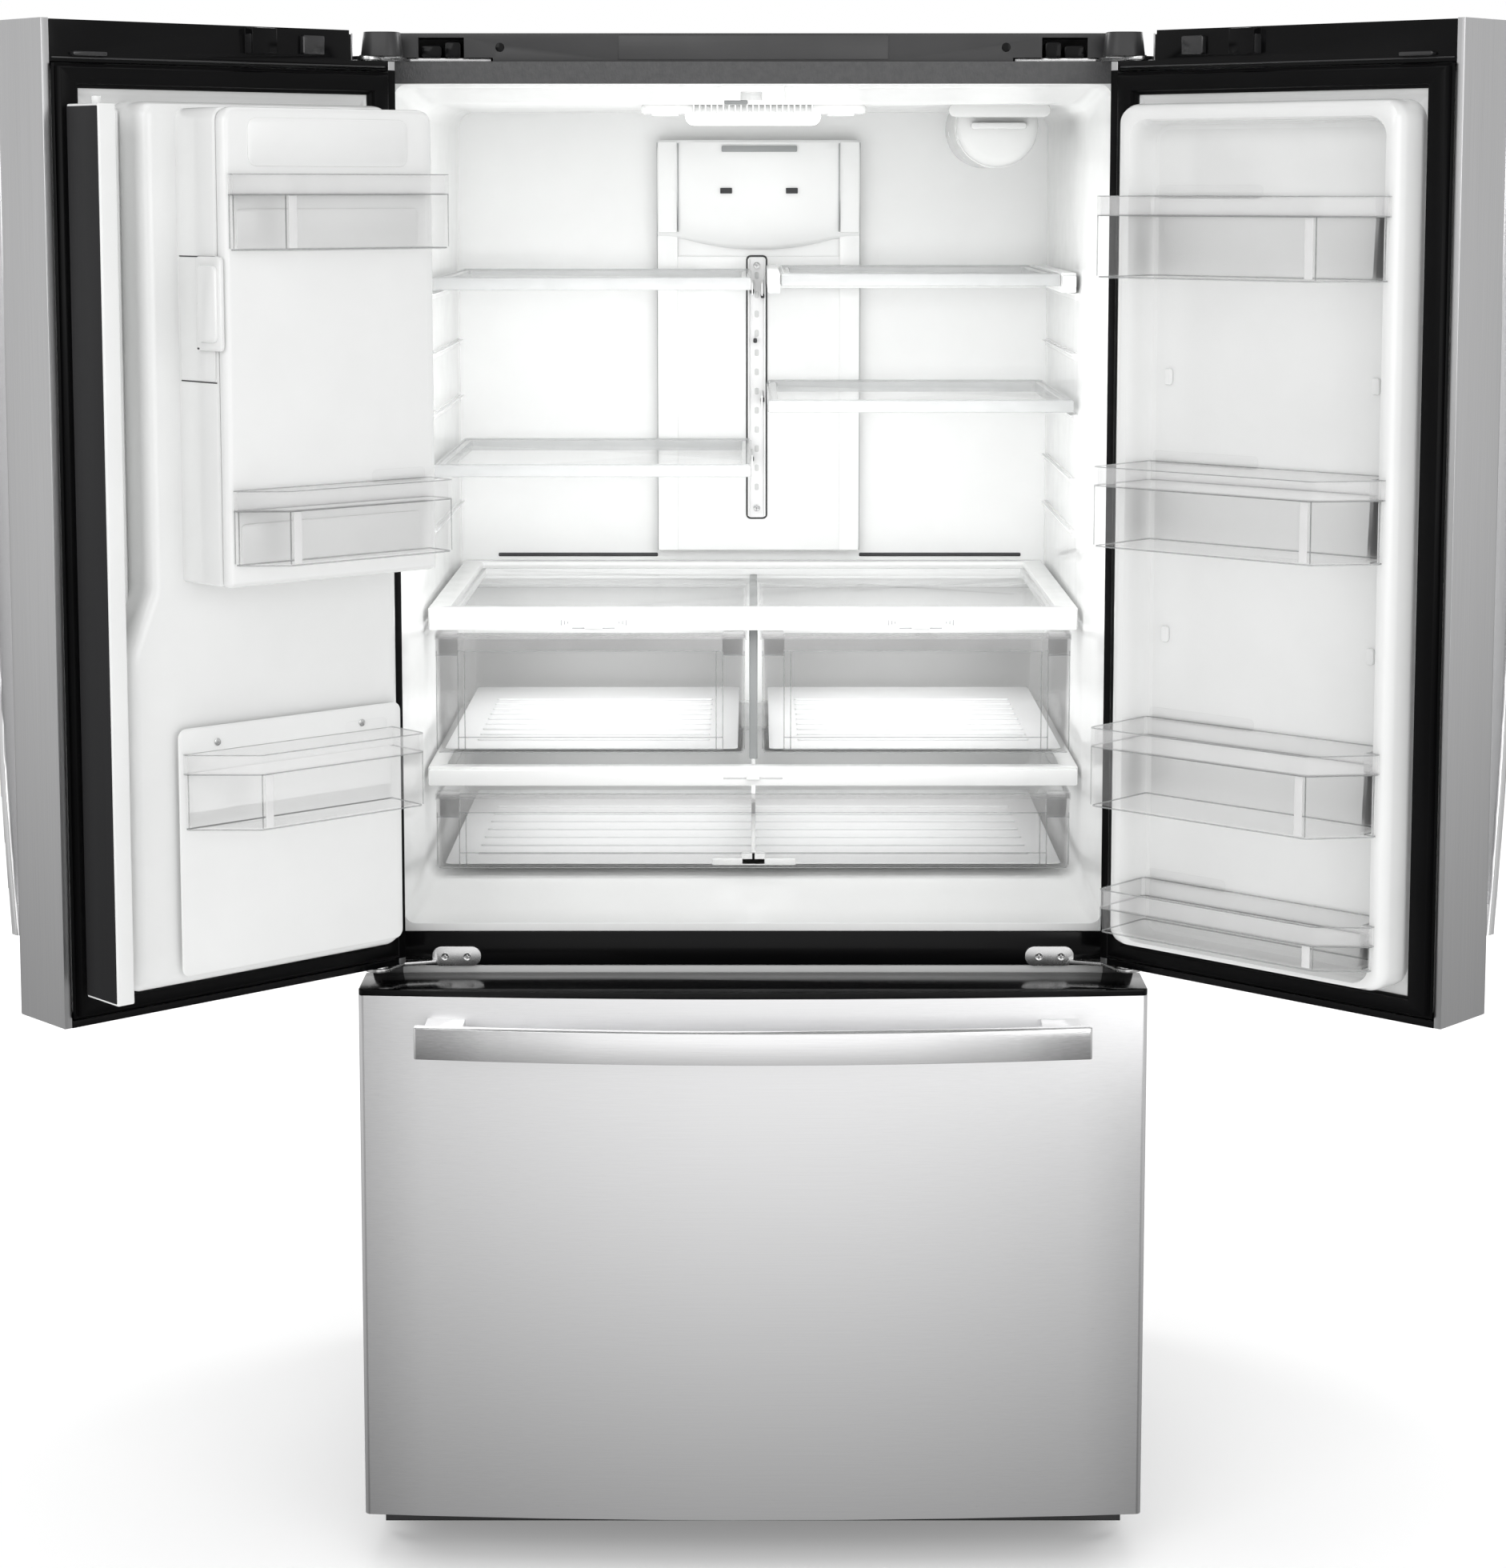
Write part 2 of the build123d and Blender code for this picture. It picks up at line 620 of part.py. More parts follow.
def door_core():
    """The inner door behind the skin: white liner sheet with the foam it carries."""
    core_low, core_high = door_low + 8.3, cap_low - 0.3
    extrude(door_outline(core_low, sheet + 0.2, -sheet - 0.2), amount=core_high - core_low)
    block((9.3, door_width - 9.3), (-3, 0), (door_low + 8.3, cap_low - 0.3))
    rod((pivot_u, pivot_w, cap_low), 6.4, 20, mode=Mode.SUBTRACT)
    rod((pivot_u, pivot_w, door_low + 12), 6.4, 22, mode=Mode.SUBTRACT)


def door_gasket():
    """The magnetic seal round the door's inner face."""
    block((12, 441), (0, gasket_proud), (715, 1729))
    block((40, 411), (-1, gasket_proud + 1), (735, 1703), Mode.SUBTRACT)


def dike(u, w, z, mode=Mode.ADD, radius=22):
    """A rounded raised panel on the door's inner face."""
    with BuildSketch(door_face(w[0])) as outline:
        with Locations(((u[0] + u[1]) / 2, (z[0] + z[1]) / 2)):
            RectangleRounded(u[1] - u[0], z[1] - z[0], radius)
    extrude(outline.sketch, amount=w[0] - w[1], mode=mode)


def door_handle(handle):
    """A bar bowed outwards along its height, on two end posts."""
    low, high, middle = 783.0, 1692.0, 1237.5
    with BuildSketch(door_side(403)) as profile:
        with BuildLine():
            ThreePointArc((-141, high), (-170, middle), (-141, low))
            Polyline((-141, low), (-126, low))
            ThreePointArc((-126, low), (-155, middle), (-126, high))
            Polyline((-126, high), (-141, high))
        make_face()
    extrude(profile.sketch, amount=30)
    fillet([e for e in handle.edges() if e.length > 500], 4)
    for z in ((low, low + 34), (high - 34, high)):
        block((406, 430), (-136, -90), z)
    extrude(door_outline(low - 5, 0), amount=high - low + 10, mode=Mode.SUBTRACT)


def door_bin(u_hinge, u_corner, u_free, w_back, w_front, z, root=None, wall=2.4):
    """A door bin: open-topped, its free end cut back towards the door.

    root is the u and w of a narrower back part that sits down in the liner's recess.
    """
    for inset, mode in ((0, Mode.ADD), (wall, Mode.SUBTRACT)):
        back = w_back if root is None else root[1]
        points = [
            (u_hinge + inset, back + inset),
            (u_hinge + inset, w_front - inset),
            (u_corner - inset * 0.4, w_front - inset),
            (u_free - inset, w_back + 8),
            (u_free - inset, w_back + inset),
        ]
        if root is not None:
            points += [(root[0] - inset, w_back + inset), (root[0] - inset, back + inset)]
        with BuildSketch(door.offset(z[0] + inset)) as outline:
            with BuildLine():
                Polyline(*points, close=True)
            make_face()
        extrude(outline.sketch, amount=z[1] - z[0], mode=mode)


for side in ("left", "right"):
    is_left = side == "left"

    with BuildPart(door) as door_skin_part:
        door_skin(window=is_left)
        if not is_left:
            mirror_over()
    save(door_skin_part, f"{side}_door_skin")

    with BuildPart(door) as door_caps_part:
        door_caps()
        if not is_left:
            mirror_over()
    save(door_caps_part, f"{side}_door_caps")

    with BuildPart(door) as gasket_part:
        door_gasket()
        if not is_left:
            mirror_over()
    save(gasket_part, f"{side}_door_gasket")

    with BuildPart(door) as handle_part:
        door_handle(handle_part)
        if not is_left:
            mirror_over()
    save(handle_part, f"{side}_door_handle")

with BuildPart(door) as left_door_liner:
    door_core()
    dike((46, 400), (-1, 60), (744, 1690))
    dike((70, 320), (4, 61), (1195, 1672), Mode.SUBTRACT, radius=14)
    block((50, 349), (55, 68), (752, 1030))
    block((dispenser_u[0] - 1, dispenser_u[1] + 1), (-120, -22), (dispenser_z[0] - 1, dispenser_z[1] + 1), Mode.SUBTRACT)
save(left_door_liner, "left_door_liner")

with BuildPart(door) as right_door_liner:
    door_core()
    dike((46, 408), (-1, 52), (744, 1692))
    dike((66, 388), (8, 53), (752, 1672), Mode.SUBTRACT, radius=18)
    mirror_over()
save(right_door_liner, "right_door_liner")

# the in-door ice box: housing, bucket, hinged front with its bins, and latch
ice_z = (1183.0, 1683.0)
with BuildPart(door) as ice_box_housing:
    block((60, 330), (60.3, 132), ice_z)
    block((66, 324), (66, 133), (ice_z[0] + 6, ice_z[1] - 6), Mode.SUBTRACT)
    # the ice maker hangs from the housing's roof, over the bucket
    block((90, 300), (70, 116), (1600, 1677))
    block((100, 290), (76, 110), (1590, 1640), Mode.SUBTRACT)
save(ice_box_housing, "ice_box_housing")

with BuildPart(door) as ice_bucket:
    block((72, 318), (70, 128), (1196, 1560))
    block((76, 314), (74, 124), (1206, 1561), Mode.SUBTRACT)
save(ice_bucket, "ice_bucket")

ice_hinge_u, ice_hinge_w = 67.0, 143.0
with BuildPart(door) as ice_box_door:
    block((60, 330), (136, 150), ice_z)
    fillet(
        [e for e in ice_box_door.edges().filter_by(Axis.Z) if door.to_local_coords(e.center()).X < 70],
        5,
    )
    # ledges that the bins hang on, and the hinge pins
    for z in (1210, 1538):
        block((84, 316), (149, 152), (z, z + 40))
    for z in ice_z:
        rod((ice_hinge_u, ice_hinge_w, z), 3, 10)
save(ice_box_door, "ice_box_door")

with BuildPart(door) as ice_door_bins:
    for z in ((1206, 1286), (1534, 1614)):
        door_bin(72, 285, 326, 152.2, 195, z)
save(ice_door_bins, "ice_door_bins")

with BuildPart(door) as ice_box_latch:
    block((331.5, 337), (104, 150), (1431, 1529))
    block((336, 341), (112, 146), (1440, 1520))
    rod((334, 147, 1480), 2, 106)
save(ice_box_latch, "ice_box_latch")

with BuildPart(door) as left_lower_bin:
    door_bin(66, 282, 340, 68.3, 130, (916, 999))
save(left_lower_bin, "left_lower_bin")

flipper_t, flipper_w, flipper_z = (15.0, 37.0), (20.0, 82.0), (742.0, 1686.0)
with BuildPart(door) as flipper:
    flipper_u = (door_width - flipper_t[1], door_width - flipper_t[0])
    block(flipper_u, flipper_w, flipper_z)
    fillet(flipper.edges().filter_by(Axis.Z), 1.6)
    rod((door_width - 26, 62, flipper_z[1] + 4), 5, 8)
    # hinge pin on the door side
    rod((door_width - 25.75, 22.75, flipper_z[1]), 2.5, 9)
save(flipper, "flipper")

with BuildPart(door) as dispenser_housing:
    low_u, high_u = dispenser_u
    low_z, high_z = dispenser_z
    block((low_u - 8, high_u + 8), (-103, -88), (low_z - 8, high_z + 8))
    extrude(door_outline(low_z - 20, 0), amount=high_z - low_z + 40, mode=Mode.SUBTRACT)
    block((low_u + 0.3, high_u - 0.3), (-101, -23), (low_z + 0.3, high_z - 0.3))
    block((low_u + 14, high_u - 14), (-104, -30), (low_z + 14, 1316), Mode.SUBTRACT)
    # chute above the glass
    rod(((low_u + high_u) / 2, -62, 1306), 22, 24)
save(dispenser_housing, "dispenser_housing")

with BuildPart(door) as dispenser_paddle:
    middle = (dispenser_u[0] + dispenser_u[1]) / 2
    block((middle - 24, middle + 24), (-60, -56), (1170, 1286))
    rod((middle, -58, 1284), 1.6, 56, (0, 90, 0))
save(dispenser_paddle, "dispenser_paddle")

with BuildPart(door) as right_door_bins:
    for z in ((914, 1004), (1205, 1296), (1501, 1591)):
        door_bin(68, 352, 400, 53, 118, z, root=(386, 10))
    mirror_over()
save(right_door_bins, "right_door_bins")

with BuildPart(door) as right_bottom_bin:
    door_bin(68, 352, 398, 53, 98, (768, 818), root=(386, 10))
    mirror_over()
save(right_bottom_bin, "right_bottom_bin")
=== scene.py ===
"""French door refrigerator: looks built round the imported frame.

Lengths are millimetres in the object's own places and become metres when a mesh is made:
- cabinet places are x across, y from the cabinet's front plane towards the back, z up;
- door places are u from the hinge end, w from the door's back plane towards the food side, z up.
Almost every piece is a loft: rounded outlines stacked at different heights and joined with quads.
"""

import json
import math

import bmesh
import bpy
from mathutils import Matrix, Vector


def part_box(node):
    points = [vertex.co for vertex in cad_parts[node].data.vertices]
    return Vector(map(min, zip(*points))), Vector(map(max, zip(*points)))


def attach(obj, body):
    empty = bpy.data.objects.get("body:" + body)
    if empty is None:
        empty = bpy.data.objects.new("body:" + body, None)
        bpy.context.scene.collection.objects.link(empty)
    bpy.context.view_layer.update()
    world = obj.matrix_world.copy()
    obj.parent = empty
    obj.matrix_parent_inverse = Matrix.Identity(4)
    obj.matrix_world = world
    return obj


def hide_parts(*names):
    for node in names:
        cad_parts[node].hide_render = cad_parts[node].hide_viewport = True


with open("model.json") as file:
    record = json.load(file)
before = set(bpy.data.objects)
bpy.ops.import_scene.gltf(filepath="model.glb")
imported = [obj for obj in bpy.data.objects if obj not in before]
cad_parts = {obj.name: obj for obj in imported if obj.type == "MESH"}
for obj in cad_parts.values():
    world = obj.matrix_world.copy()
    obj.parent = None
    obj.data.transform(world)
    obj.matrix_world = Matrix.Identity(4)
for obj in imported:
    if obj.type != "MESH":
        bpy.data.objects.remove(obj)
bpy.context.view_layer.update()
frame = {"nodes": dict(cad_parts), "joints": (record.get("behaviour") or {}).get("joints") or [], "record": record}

MM = 0.001
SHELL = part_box("cabinet_shell")
FRONT = SHELL[0].y  # the cabinet's front plane
TOP = SHELL[1].z / MM  # the cabinet's top

# the doors' own places, from the left door's hinge joint and the pin's place in the door
DOOR_JOINT = next(j for j in frame["joints"] if j["name"] == "left_door_hinge")
DOOR_ANGLE = math.radians(-DOOR_JOINT["range_deg"][0])
ALONG = Vector((math.cos(DOOR_ANGLE), -math.sin(DOOR_ANGLE), 0))
INWARD = Vector((math.sin(DOOR_ANGLE), math.cos(DOOR_ANGLE), 0))
PIVOT_U, PIVOT_W = 16.7, -29.2
HINGE = Vector((DOOR_JOINT["pos_m"][0], DOOR_JOINT["pos_m"][1], 0))
DOOR_ORIGIN = HINGE - ALONG * PIVOT_U * MM - INWARD * PIVOT_W * MM


def in_cabinet(x, y, z):
    return Vector((x * MM, FRONT + y * MM, z * MM))


def in_left_door(u, w, z):
    return DOOR_ORIGIN + ALONG * u * MM + INWARD * w * MM + Vector((0, 0, z * MM))


def in_right_door(u, w, z):
    p = in_left_door(u, w, z)
    return Vector((-p.x, p.y, p.z))


DOORS = {"left": in_left_door, "right": in_right_door}

# ------------------------------------------------------------------ materials
def new_material(name):
    """A node material and its main shader."""
    material = bpy.data.materials.new(name)
    material.use_nodes = True
    return material, material.node_tree, material.node_tree.nodes["Principled BSDF"]


def coordinates(tree, scale):
    """Object coordinates, stretched by a scale for each axis."""
    source = tree.nodes.new("ShaderNodeTexCoord")
    stretch = tree.nodes.new("ShaderNodeMapping")
    stretch.inputs["Scale"].default_value = scale
    tree.links.new(source.outputs["Object"], stretch.inputs["Vector"])
    return stretch.outputs["Vector"]


def noise(tree, scale, detail=3.0, roughness=0.5, stretch=(1, 1, 1)):
    node = tree.nodes.new("ShaderNodeTexNoise")
    node.inputs["Scale"].default_value = scale
    node.inputs["Detail"].default_value = detail
    node.inputs["Roughness"].default_value = roughness
    tree.links.new(coordinates(tree, stretch), node.inputs["Vector"])
    return node.outputs["Fac"]


def ramp(tree, source, stops):
    """A colour ramp from (position, colour) stops."""
    node = tree.nodes.new("ShaderNodeValToRGB")
    elements = node.color_ramp.elements
    for index, (position, colour) in enumerate(stops):
        element = elements[index] if index < 2 else elements.new(position)
        element.position = position
        element.color = (*colour, 1) if isinstance(colour, tuple) else (colour, colour, colour, 1)
    tree.links.new(source, node.inputs["Fac"])
    return node.outputs["Color"]


def spread(tree, source, low, high, start=0.0, end=1.0):
    """Maps a value between start and end onto low to high."""
    node = tree.nodes.new("ShaderNodeMapRange")
    for socket, value in (("From Min", start), ("From Max", end), ("To Min", low), ("To Max", high)):
        node.inputs[socket].default_value = value
    tree.links.new(source, node.inputs["Value"])
    return node.outputs["Result"]


def bump(tree, shader, height, strength, distance):
    node = tree.nodes.new("ShaderNodeBump")
    node.inputs["Strength"].default_value = strength
    node.inputs["Distance"].default_value = distance
    tree.links.new(height, node.inputs["Height"])
    tree.links.new(node.outputs["Normal"], shader.inputs["Normal"])


def moulded(name, colour, roughness, variation=0.03, coat=0.0, orange_peel=0.05, specular=0.5):
    """Moulded plastic: faint mottling in colour and gloss, and a fine orange peel."""
    material, tree, shader = new_material(name)
    low = tuple(max(c * (1 - variation), 0) for c in colour)
    mottle = noise(tree, 9, 3, 0.55)
    tree.links.new(ramp(tree, mottle, ((0.35, low), (0.65, colour))), shader.inputs["Base Color"])
    smudge = noise(tree, 26, 4, 0.6)
    tree.links.new(spread(tree, smudge, roughness * 0.8, roughness * 1.25), shader.inputs["Roughness"])
    shader.inputs["Specular IOR Level"].default_value = specular
    shader.inputs["Coat Weight"].default_value = coat
    shader.inputs["Coat Roughness"].default_value = 0.08
    bump(tree, shader, noise(tree, 420, 2, 0.5), orange_peel, 0.0004)
    return material


def brushed(name, colour, roughness, stretch, anisotropic=0.5, contrast=0.1):
    """Brushed metal: fine scratches drawn out along one direction."""
    material, tree, shader = new_material(name)
    shader.inputs["Metallic"].default_value = 1.0
    shader.inputs["Anisotropic"].default_value = anisotropic
    scratches = noise(tree, 1, 6, 0.75, stretch)
    low = tuple(c * (1 - contrast) for c in colour)
    high = tuple(min(c * (1 + contrast), 1) for c in colour)
    tree.links.new(ramp(tree, scratches, ((0.3, low), (0.7, high))), shader.inputs["Base Color"])
    tree.links.new(spread(tree, scratches, roughness * 0.75, roughness * 1.3), shader.inputs["Roughness"])
    bump(tree, shader, scratches, 0.12, 0.0003)
    return material


def clear(name, colour, face_alpha, edge_alpha, roughness=0.06):
    """Clear moulded plastic: thin to look through, denser where the wall turns away."""
    material, tree, shader = new_material(name)
    haze = noise(tree, 30, 3, 0.5)
    shade = tuple(c * 0.94 for c in colour)
    tree.links.new(ramp(tree, haze, ((0.3, shade), (0.7, colour))), shader.inputs["Base Color"])
    tree.links.new(spread(tree, haze, roughness * 0.7, roughness * 1.6), shader.inputs["Roughness"])
    facing = tree.nodes.new("ShaderNodeLayerWeight")
    facing.inputs["Blend"].default_value = 0.1
    tree.links.new(
        spread(tree, facing.outputs["Facing"], face_alpha, edge_alpha), shader.inputs["Alpha"]
    )
    shader.inputs["IOR"].default_value = 1.5
    shader.inputs["Coat Weight"].default_value = 0.6
    shader.inputs["Coat Roughness"].default_value = 0.04
    return material


def leather_enamel(name, colour, roughness):
    """Case enamel with an embossed leather grain and faint wear."""
    material, tree, shader = new_material(name)
    grain = tree.nodes.new("ShaderNodeTexVoronoi")
    grain.inputs["Scale"].default_value = 260
    grain.feature = "DISTANCE_TO_EDGE"
    tree.links.new(coordinates(tree, (1, 0.8, 0.55)), grain.inputs["Vector"])
    creases = noise(tree, 120, 4, 0.6)
    mixed = tree.nodes.new("ShaderNodeMath")
    mixed.operation = "ADD"
    tree.links.new(grain.outputs["Distance"], mixed.inputs[0])
    tree.links.new(creases, mixed.inputs[1])
    low = tuple(c * 0.82 for c in colour)
    tree.links.new(ramp(tree, creases, ((0.35, low), (0.65, colour))), shader.inputs["Base Color"])
    tree.links.new(spread(tree, creases, roughness * 0.8, roughness * 1.2), shader.inputs["Roughness"])
    bump(tree, shader, mixed.outputs[0], 0.55, 0.0007)
    return material


def lamp_lens(name):
    """A frosted lens over lit diodes."""
    material, tree, shader = new_material(name)
    rows = noise(tree, 60, 2, 0.5, (1, 0.2, 1))
    tree.links.new(ramp(tree, rows, ((0.3, 0.93), (0.7, 1.0))), shader.inputs["Base Color"])
    shader.inputs["Roughness"].default_value = 0.3
    shader.inputs["Emission Color"].default_value = (1, 1, 1, 1)
    tree.links.new(spread(tree, rows, 0.8, 1.2), shader.inputs["Emission Strength"])
    return material


def floor_paint(name):
    material, tree, shader = new_material(name)
    patches = noise(tree, 1.5, 2, 0.5)
    tree.links.new(ramp(tree, patches, ((0.3, 0.9), (0.7, 0.92))), shader.inputs["Base Color"])
    shader.inputs["Roughness"].default_value = 0.6
    shader.inputs["Emission Color"].default_value = (1, 1, 1, 1)
    shader.inputs["Emission Strength"].default_value = 0.22
    return material


WHITE = (0.86, 0.865, 0.86)
JET = (0.003, 0.003, 0.0033)
MATERIALS = {
    "liner": moulded("liner_white", WHITE, 0.22, 0.025, coat=0.35),
    "frost": moulded("frosted_floor", (0.84, 0.845, 0.845), 0.3, 0.03),
    # the liner's white painted darker as shade, so the water filter and its shroud don't glare in the soft box
    # light
    "filter": moulded("filter_shaded_white", (0.6, 0.605, 0.6), 0.25, 0.03),
    "case": leather_enamel("case_charcoal", (0.085, 0.085, 0.087), 0.42),
    "black": moulded("black_gloss", JET, 0.14, 0.3, orange_peel=0.02, specular=0.16),
    # the caps' black painted lighter and glossier, as painted highlights on the cap stops
    "cap_highlight_grey": moulded("cap_highlight_grey", (0.022, 0.022, 0.023), 0.2, 0.2, orange_peel=0.03, specular=0.7),
    "cover": moulded("cover_grey", (0.036, 0.036, 0.037), 0.4, 0.15, orange_peel=0.12),
    "cover_light": moulded("cover_panel", (0.05, 0.05, 0.051), 0.38, 0.12, orange_peel=0.12),
    "gasket": moulded("gasket_black", JET, 0.34, 0.25, orange_peel=0.1, specular=0.1),
    # one stainless steel in two copies: the freezer front's level-brushed copy is painted lighter than the door
    # skins' upright copy, as painted light
    "steel": brushed("stainless_upright", (0.66, 0.66, 0.665), 0.3, (900, 900, 4), 0.4, 0.06),
    "steel_level": brushed("stainless_level_painted_lighter", (0.84, 0.84, 0.845), 0.3, (4, 900, 900), 0.4, 0.035),
    "bar": brushed("bar_satin", (0.93, 0.93, 0.935), 0.22, (700, 700, 3), 0.5, 0.05),
    "bar_level": brushed("bar_satin_level", (0.9, 0.9, 0.905), 0.2, (3, 700, 700), 0.5, 0.05),
    "plate": brushed("hinge_plate", (0.72, 0.72, 0.72), 0.26, (60, 60, 60), 0.1, 0.06),
    "clear": clear("clear_plastic", (1.0, 1.0, 1.0), 0.0, 0.42),
    "clear_rim": clear("clear_rim", (0.98, 0.98, 0.98), 0.16, 0.62, 0.12),
    # dark grey clear plastic for thin lines painted as shade along clear walls' edges
    "painted_edge_shade": clear("painted_edge_shade", (0.42, 0.43, 0.43), 0.38, 0.7, 0.2),
    "glass": clear("pane_glass", (0.9, 0.92, 0.92), 0.03, 0.3, 0.03),
    # bright clear white, for a painted highlight
    "painted_highlight_clear": clear("painted_highlight_clear", (1.0, 1.0, 1.0), 0.62, 0.85, 0.1),
    "rim": clear("shelf_rim", (0.62, 0.63, 0.63), 0.42, 0.8, 0.16),
    "track": moulded("track_enamel", (0.84, 0.84, 0.84), 0.3, 0.05),
    "basket": moulded("basket_white", (0.78, 0.79, 0.79), 0.3, 0.04),
    "flipper": brushed("flipper_charcoal", (0.05, 0.05, 0.052), 0.45, (500, 500, 5), 0.2),
    "post": moulded("post_grey", (0.3, 0.31, 0.31), 0.35, 0.06),
    "machine": moulded("machine_black", (0.02, 0.02, 0.02), 0.45, 0.3),
    "dark": moulded("dark_plastic", (0.03, 0.03, 0.031), 0.45, 0.2),
    # near black for painted shade: in slots, vents and seams, the slide shelf's groove and the line round the
    # track plate, and for the marks on the ice latch
    "shadow": moulded("painted_shadow_dark", (0.05, 0.05, 0.052), 0.6, 0.2),
    "valve": moulded("valve_plastic", (0.62, 0.62, 0.58), 0.4, 0.08),
    "lens": lamp_lens("lamp_lens"),
    "floor": floor_paint("studio_floor"),
}


# ------------------------------------------------------------------ outlines and lofts
SHARPEST = 0.05  # the least corner radius


def corner_triples(corners):
    """Each corner with the one before it and the one after it."""
    count = len(corners)
    for index in range(count):
        yield tuple(Vector(corners[(index + k) % count]) for k in (-1, 0, 1))


def inset_corners(corners, distance):
    """Moves a polygon's sides inwards by a distance; corners run anticlockwise."""
    moved = []
    for before, here, after in corner_triples(corners):
        one = (here - before).normalized()
        two = (after - here).normalized()
        inward_one = Vector((-one.y, one.x))
        inward_two = Vector((-two.y, two.x))
        turn = 1 + inward_one.dot(inward_two)
        moved.append(here + (inward_one + inward_two) * distance / max(turn, 0.2))
    return moved


def one_each(radius, corners):
    """One radius for each corner, from a list or from a single number."""
    return radius if isinstance(radius, (list, tuple)) else [radius] * len(corners)


def rounded(corners, radii, steps):
    """A polygon's outline with each corner drawn as an arc."""
    outline = []
    for size, (before, here, after) in zip(radii, corner_triples(corners)):
        back = (before - here).normalized()
        ahead = (after - here).normalized()
        half = math.acos(max(-1, min(1, back.dot(ahead)))) / 2
        room = min((before - here).length, (after - here).length) * 0.49
        reach = min(max(size, SHARPEST) / math.tan(half), room)
        size = reach * math.tan(half)
        middle = here + (back + ahead).normalized() * (size / math.sin(half))
        start, end = here + back * reach - middle, here + ahead * reach - middle
        sweep = math.atan2(start.x * end.y - start.y * end.x, start.dot(end))
        for step in range(steps + 1):
            outline.append(middle + Matrix.Rotation(sweep * step / steps, 2) @ start)
    return outline


def rectangle(x, y):
    return [(x[0], y[0]), (x[1], y[0]), (x[1], y[1]), (x[0], y[1])]


def soft_profile(low, high, edge):
    """The (inset, height) rows of a straight side with a rounded edge at each end."""
    turns = (0, math.pi / 4, math.pi / 2)
    arc = [(edge * (1 - math.cos(turn)), edge * (1 - math.sin(turn))) for turn in turns]
    lower = [(inset, low + drop) for inset, drop in reversed(arc)]
    return lower + [(inset, high - drop) for inset, drop in arc]


class Piece:
    """A mesh being built in one of the places, as lofts of rounded outlines."""

    def __init__(self, place, flat="xy"):
        self.mesh = bmesh.new()
        self.place = place
        self.flat = flat  # the two directions an outline lies in: xy, xz or yz

    def point(self, two, height, flat=None):
        flat = flat or self.flat
        if flat == "xy":
            return self.place(two[0], two[1], height)
        if flat == "xz":
            return self.place(two[0], height, two[1])
        return self.place(height, two[0], two[1])

    def rows(self, rows, closed=False, caps=True):
        """Joins rows of points with quads, in order."""
        made = [[self.mesh.verts.new(p) for p in row] for row in rows]
        pairs = list(zip(made, made[1:]))
        if closed:
            pairs.append((made[-1], made[0]))
        for low, high in pairs:
            for k in range(len(low)):
                n = (k + 1) % len(low)
                self.mesh.faces.new((low[k], low[n], high[n], high[k]))
        if caps and not closed:
            self.mesh.faces.new(list(reversed(made[0])))
            self.mesh.faces.new(made[-1])

    def stack(self, corners, profile, radius=3.0, steps=5, closed=False, flat=None):
        """A loft whose profile is a list of (inset, height); a corner's radius shrinks with the inset."""
        rows = []
        for inset, height in profile:
            shrunk = [r - inset for r in one_each(radius, corners)]
            outline = rounded(inset_corners(corners, inset), shrunk, steps)
            rows.append([self.point(p, height, flat) for p in outline])
        self.rows(rows, closed)

    def between(self, outer, inner, profile, radii, steps, closed=False):
        """A loft whose rows run from an outer rectangle to an inner one: (share, inset, height)."""
        rows = []
        for share, inset, height in profile:
            mixed = [Vector(a).lerp(Vector(b), share) for a, b in zip(outer, inner)]
            radius = radii[0] + (radii[1] - radii[0]) * share
            outline = rounded(inset_corners(mixed, inset), [radius - inset] * len(mixed), steps)
            rows.append([self.point(p, height) for p in outline])
        self.rows(rows, closed, caps=False)

    def slab(self, x, y, z, radius=1.0, edge=0.8, flat=None):
        """A box with rounded corners and edges, by its low and high limits in the place's own axes."""
        flat = flat or self.flat
        wide, high, deep = {"xy": (x, y, z), "xz": (x, z, y), "yz": (y, z, x)}[flat]
        size = min(wide[1] - wide[0], high[1] - high[0], deep[1] - deep[0])
        edge = min(edge, size * 0.45)
        radius = max(min(radius, (min(wide[1] - wide[0], high[1] - high[0])) * 0.49), edge)
        self.stack(rectangle(wide, high), soft_profile(*deep, edge), radius, 3, flat=flat)

    def turned(self, centre, radius, profile, sides, flat=None):
        """A round piece whose profile is a list of (inset, height)."""
        rows = []
        for inset, height in profile:
            turns = (2 * math.pi * k / sides for k in range(sides))
            ring = [Vector(centre) + Vector((math.cos(t), math.sin(t))) * (radius - inset) for t in turns]
            rows.append([self.point(p, height, flat) for p in ring])
        self.rows(rows)

    def disc(self, centre, radius, heights, edge=1.0, sides=24, flat=None):
        """A round bar with softened rims."""
        edge = min(edge, radius * 0.4, abs(heights[1] - heights[0]) * 0.45)
        self.turned(centre, radius, soft_profile(*heights, edge), sides, flat)

    def finish(self, name, body, material, replaces=(), smooth=35):
        """Makes the object, rides it on its body, and hides the CAD parts it replaces."""
        bmesh.ops.remove_doubles(self.mesh, verts=self.mesh.verts, dist=1e-6)
        bmesh.ops.recalc_face_normals(self.mesh, faces=self.mesh.faces)
        make_object(name, self.mesh, body, material, replaces, smooth)


def soften(mesh, width, segments, least=28):
    """Rounds the edges that turn more than a least angle, in degrees."""
    inner = (e for e in mesh.edges if len(e.link_faces) == 2)
    edges = [e for e in inner if math.degrees(e.calc_face_angle(0)) > least]
    bmesh.ops.bevel(
        mesh,
        geom=edges,
        offset=width * MM,
        segments=segments,
        profile=0.6,
        affect="EDGES",
        clamp_overlap=True,
    )


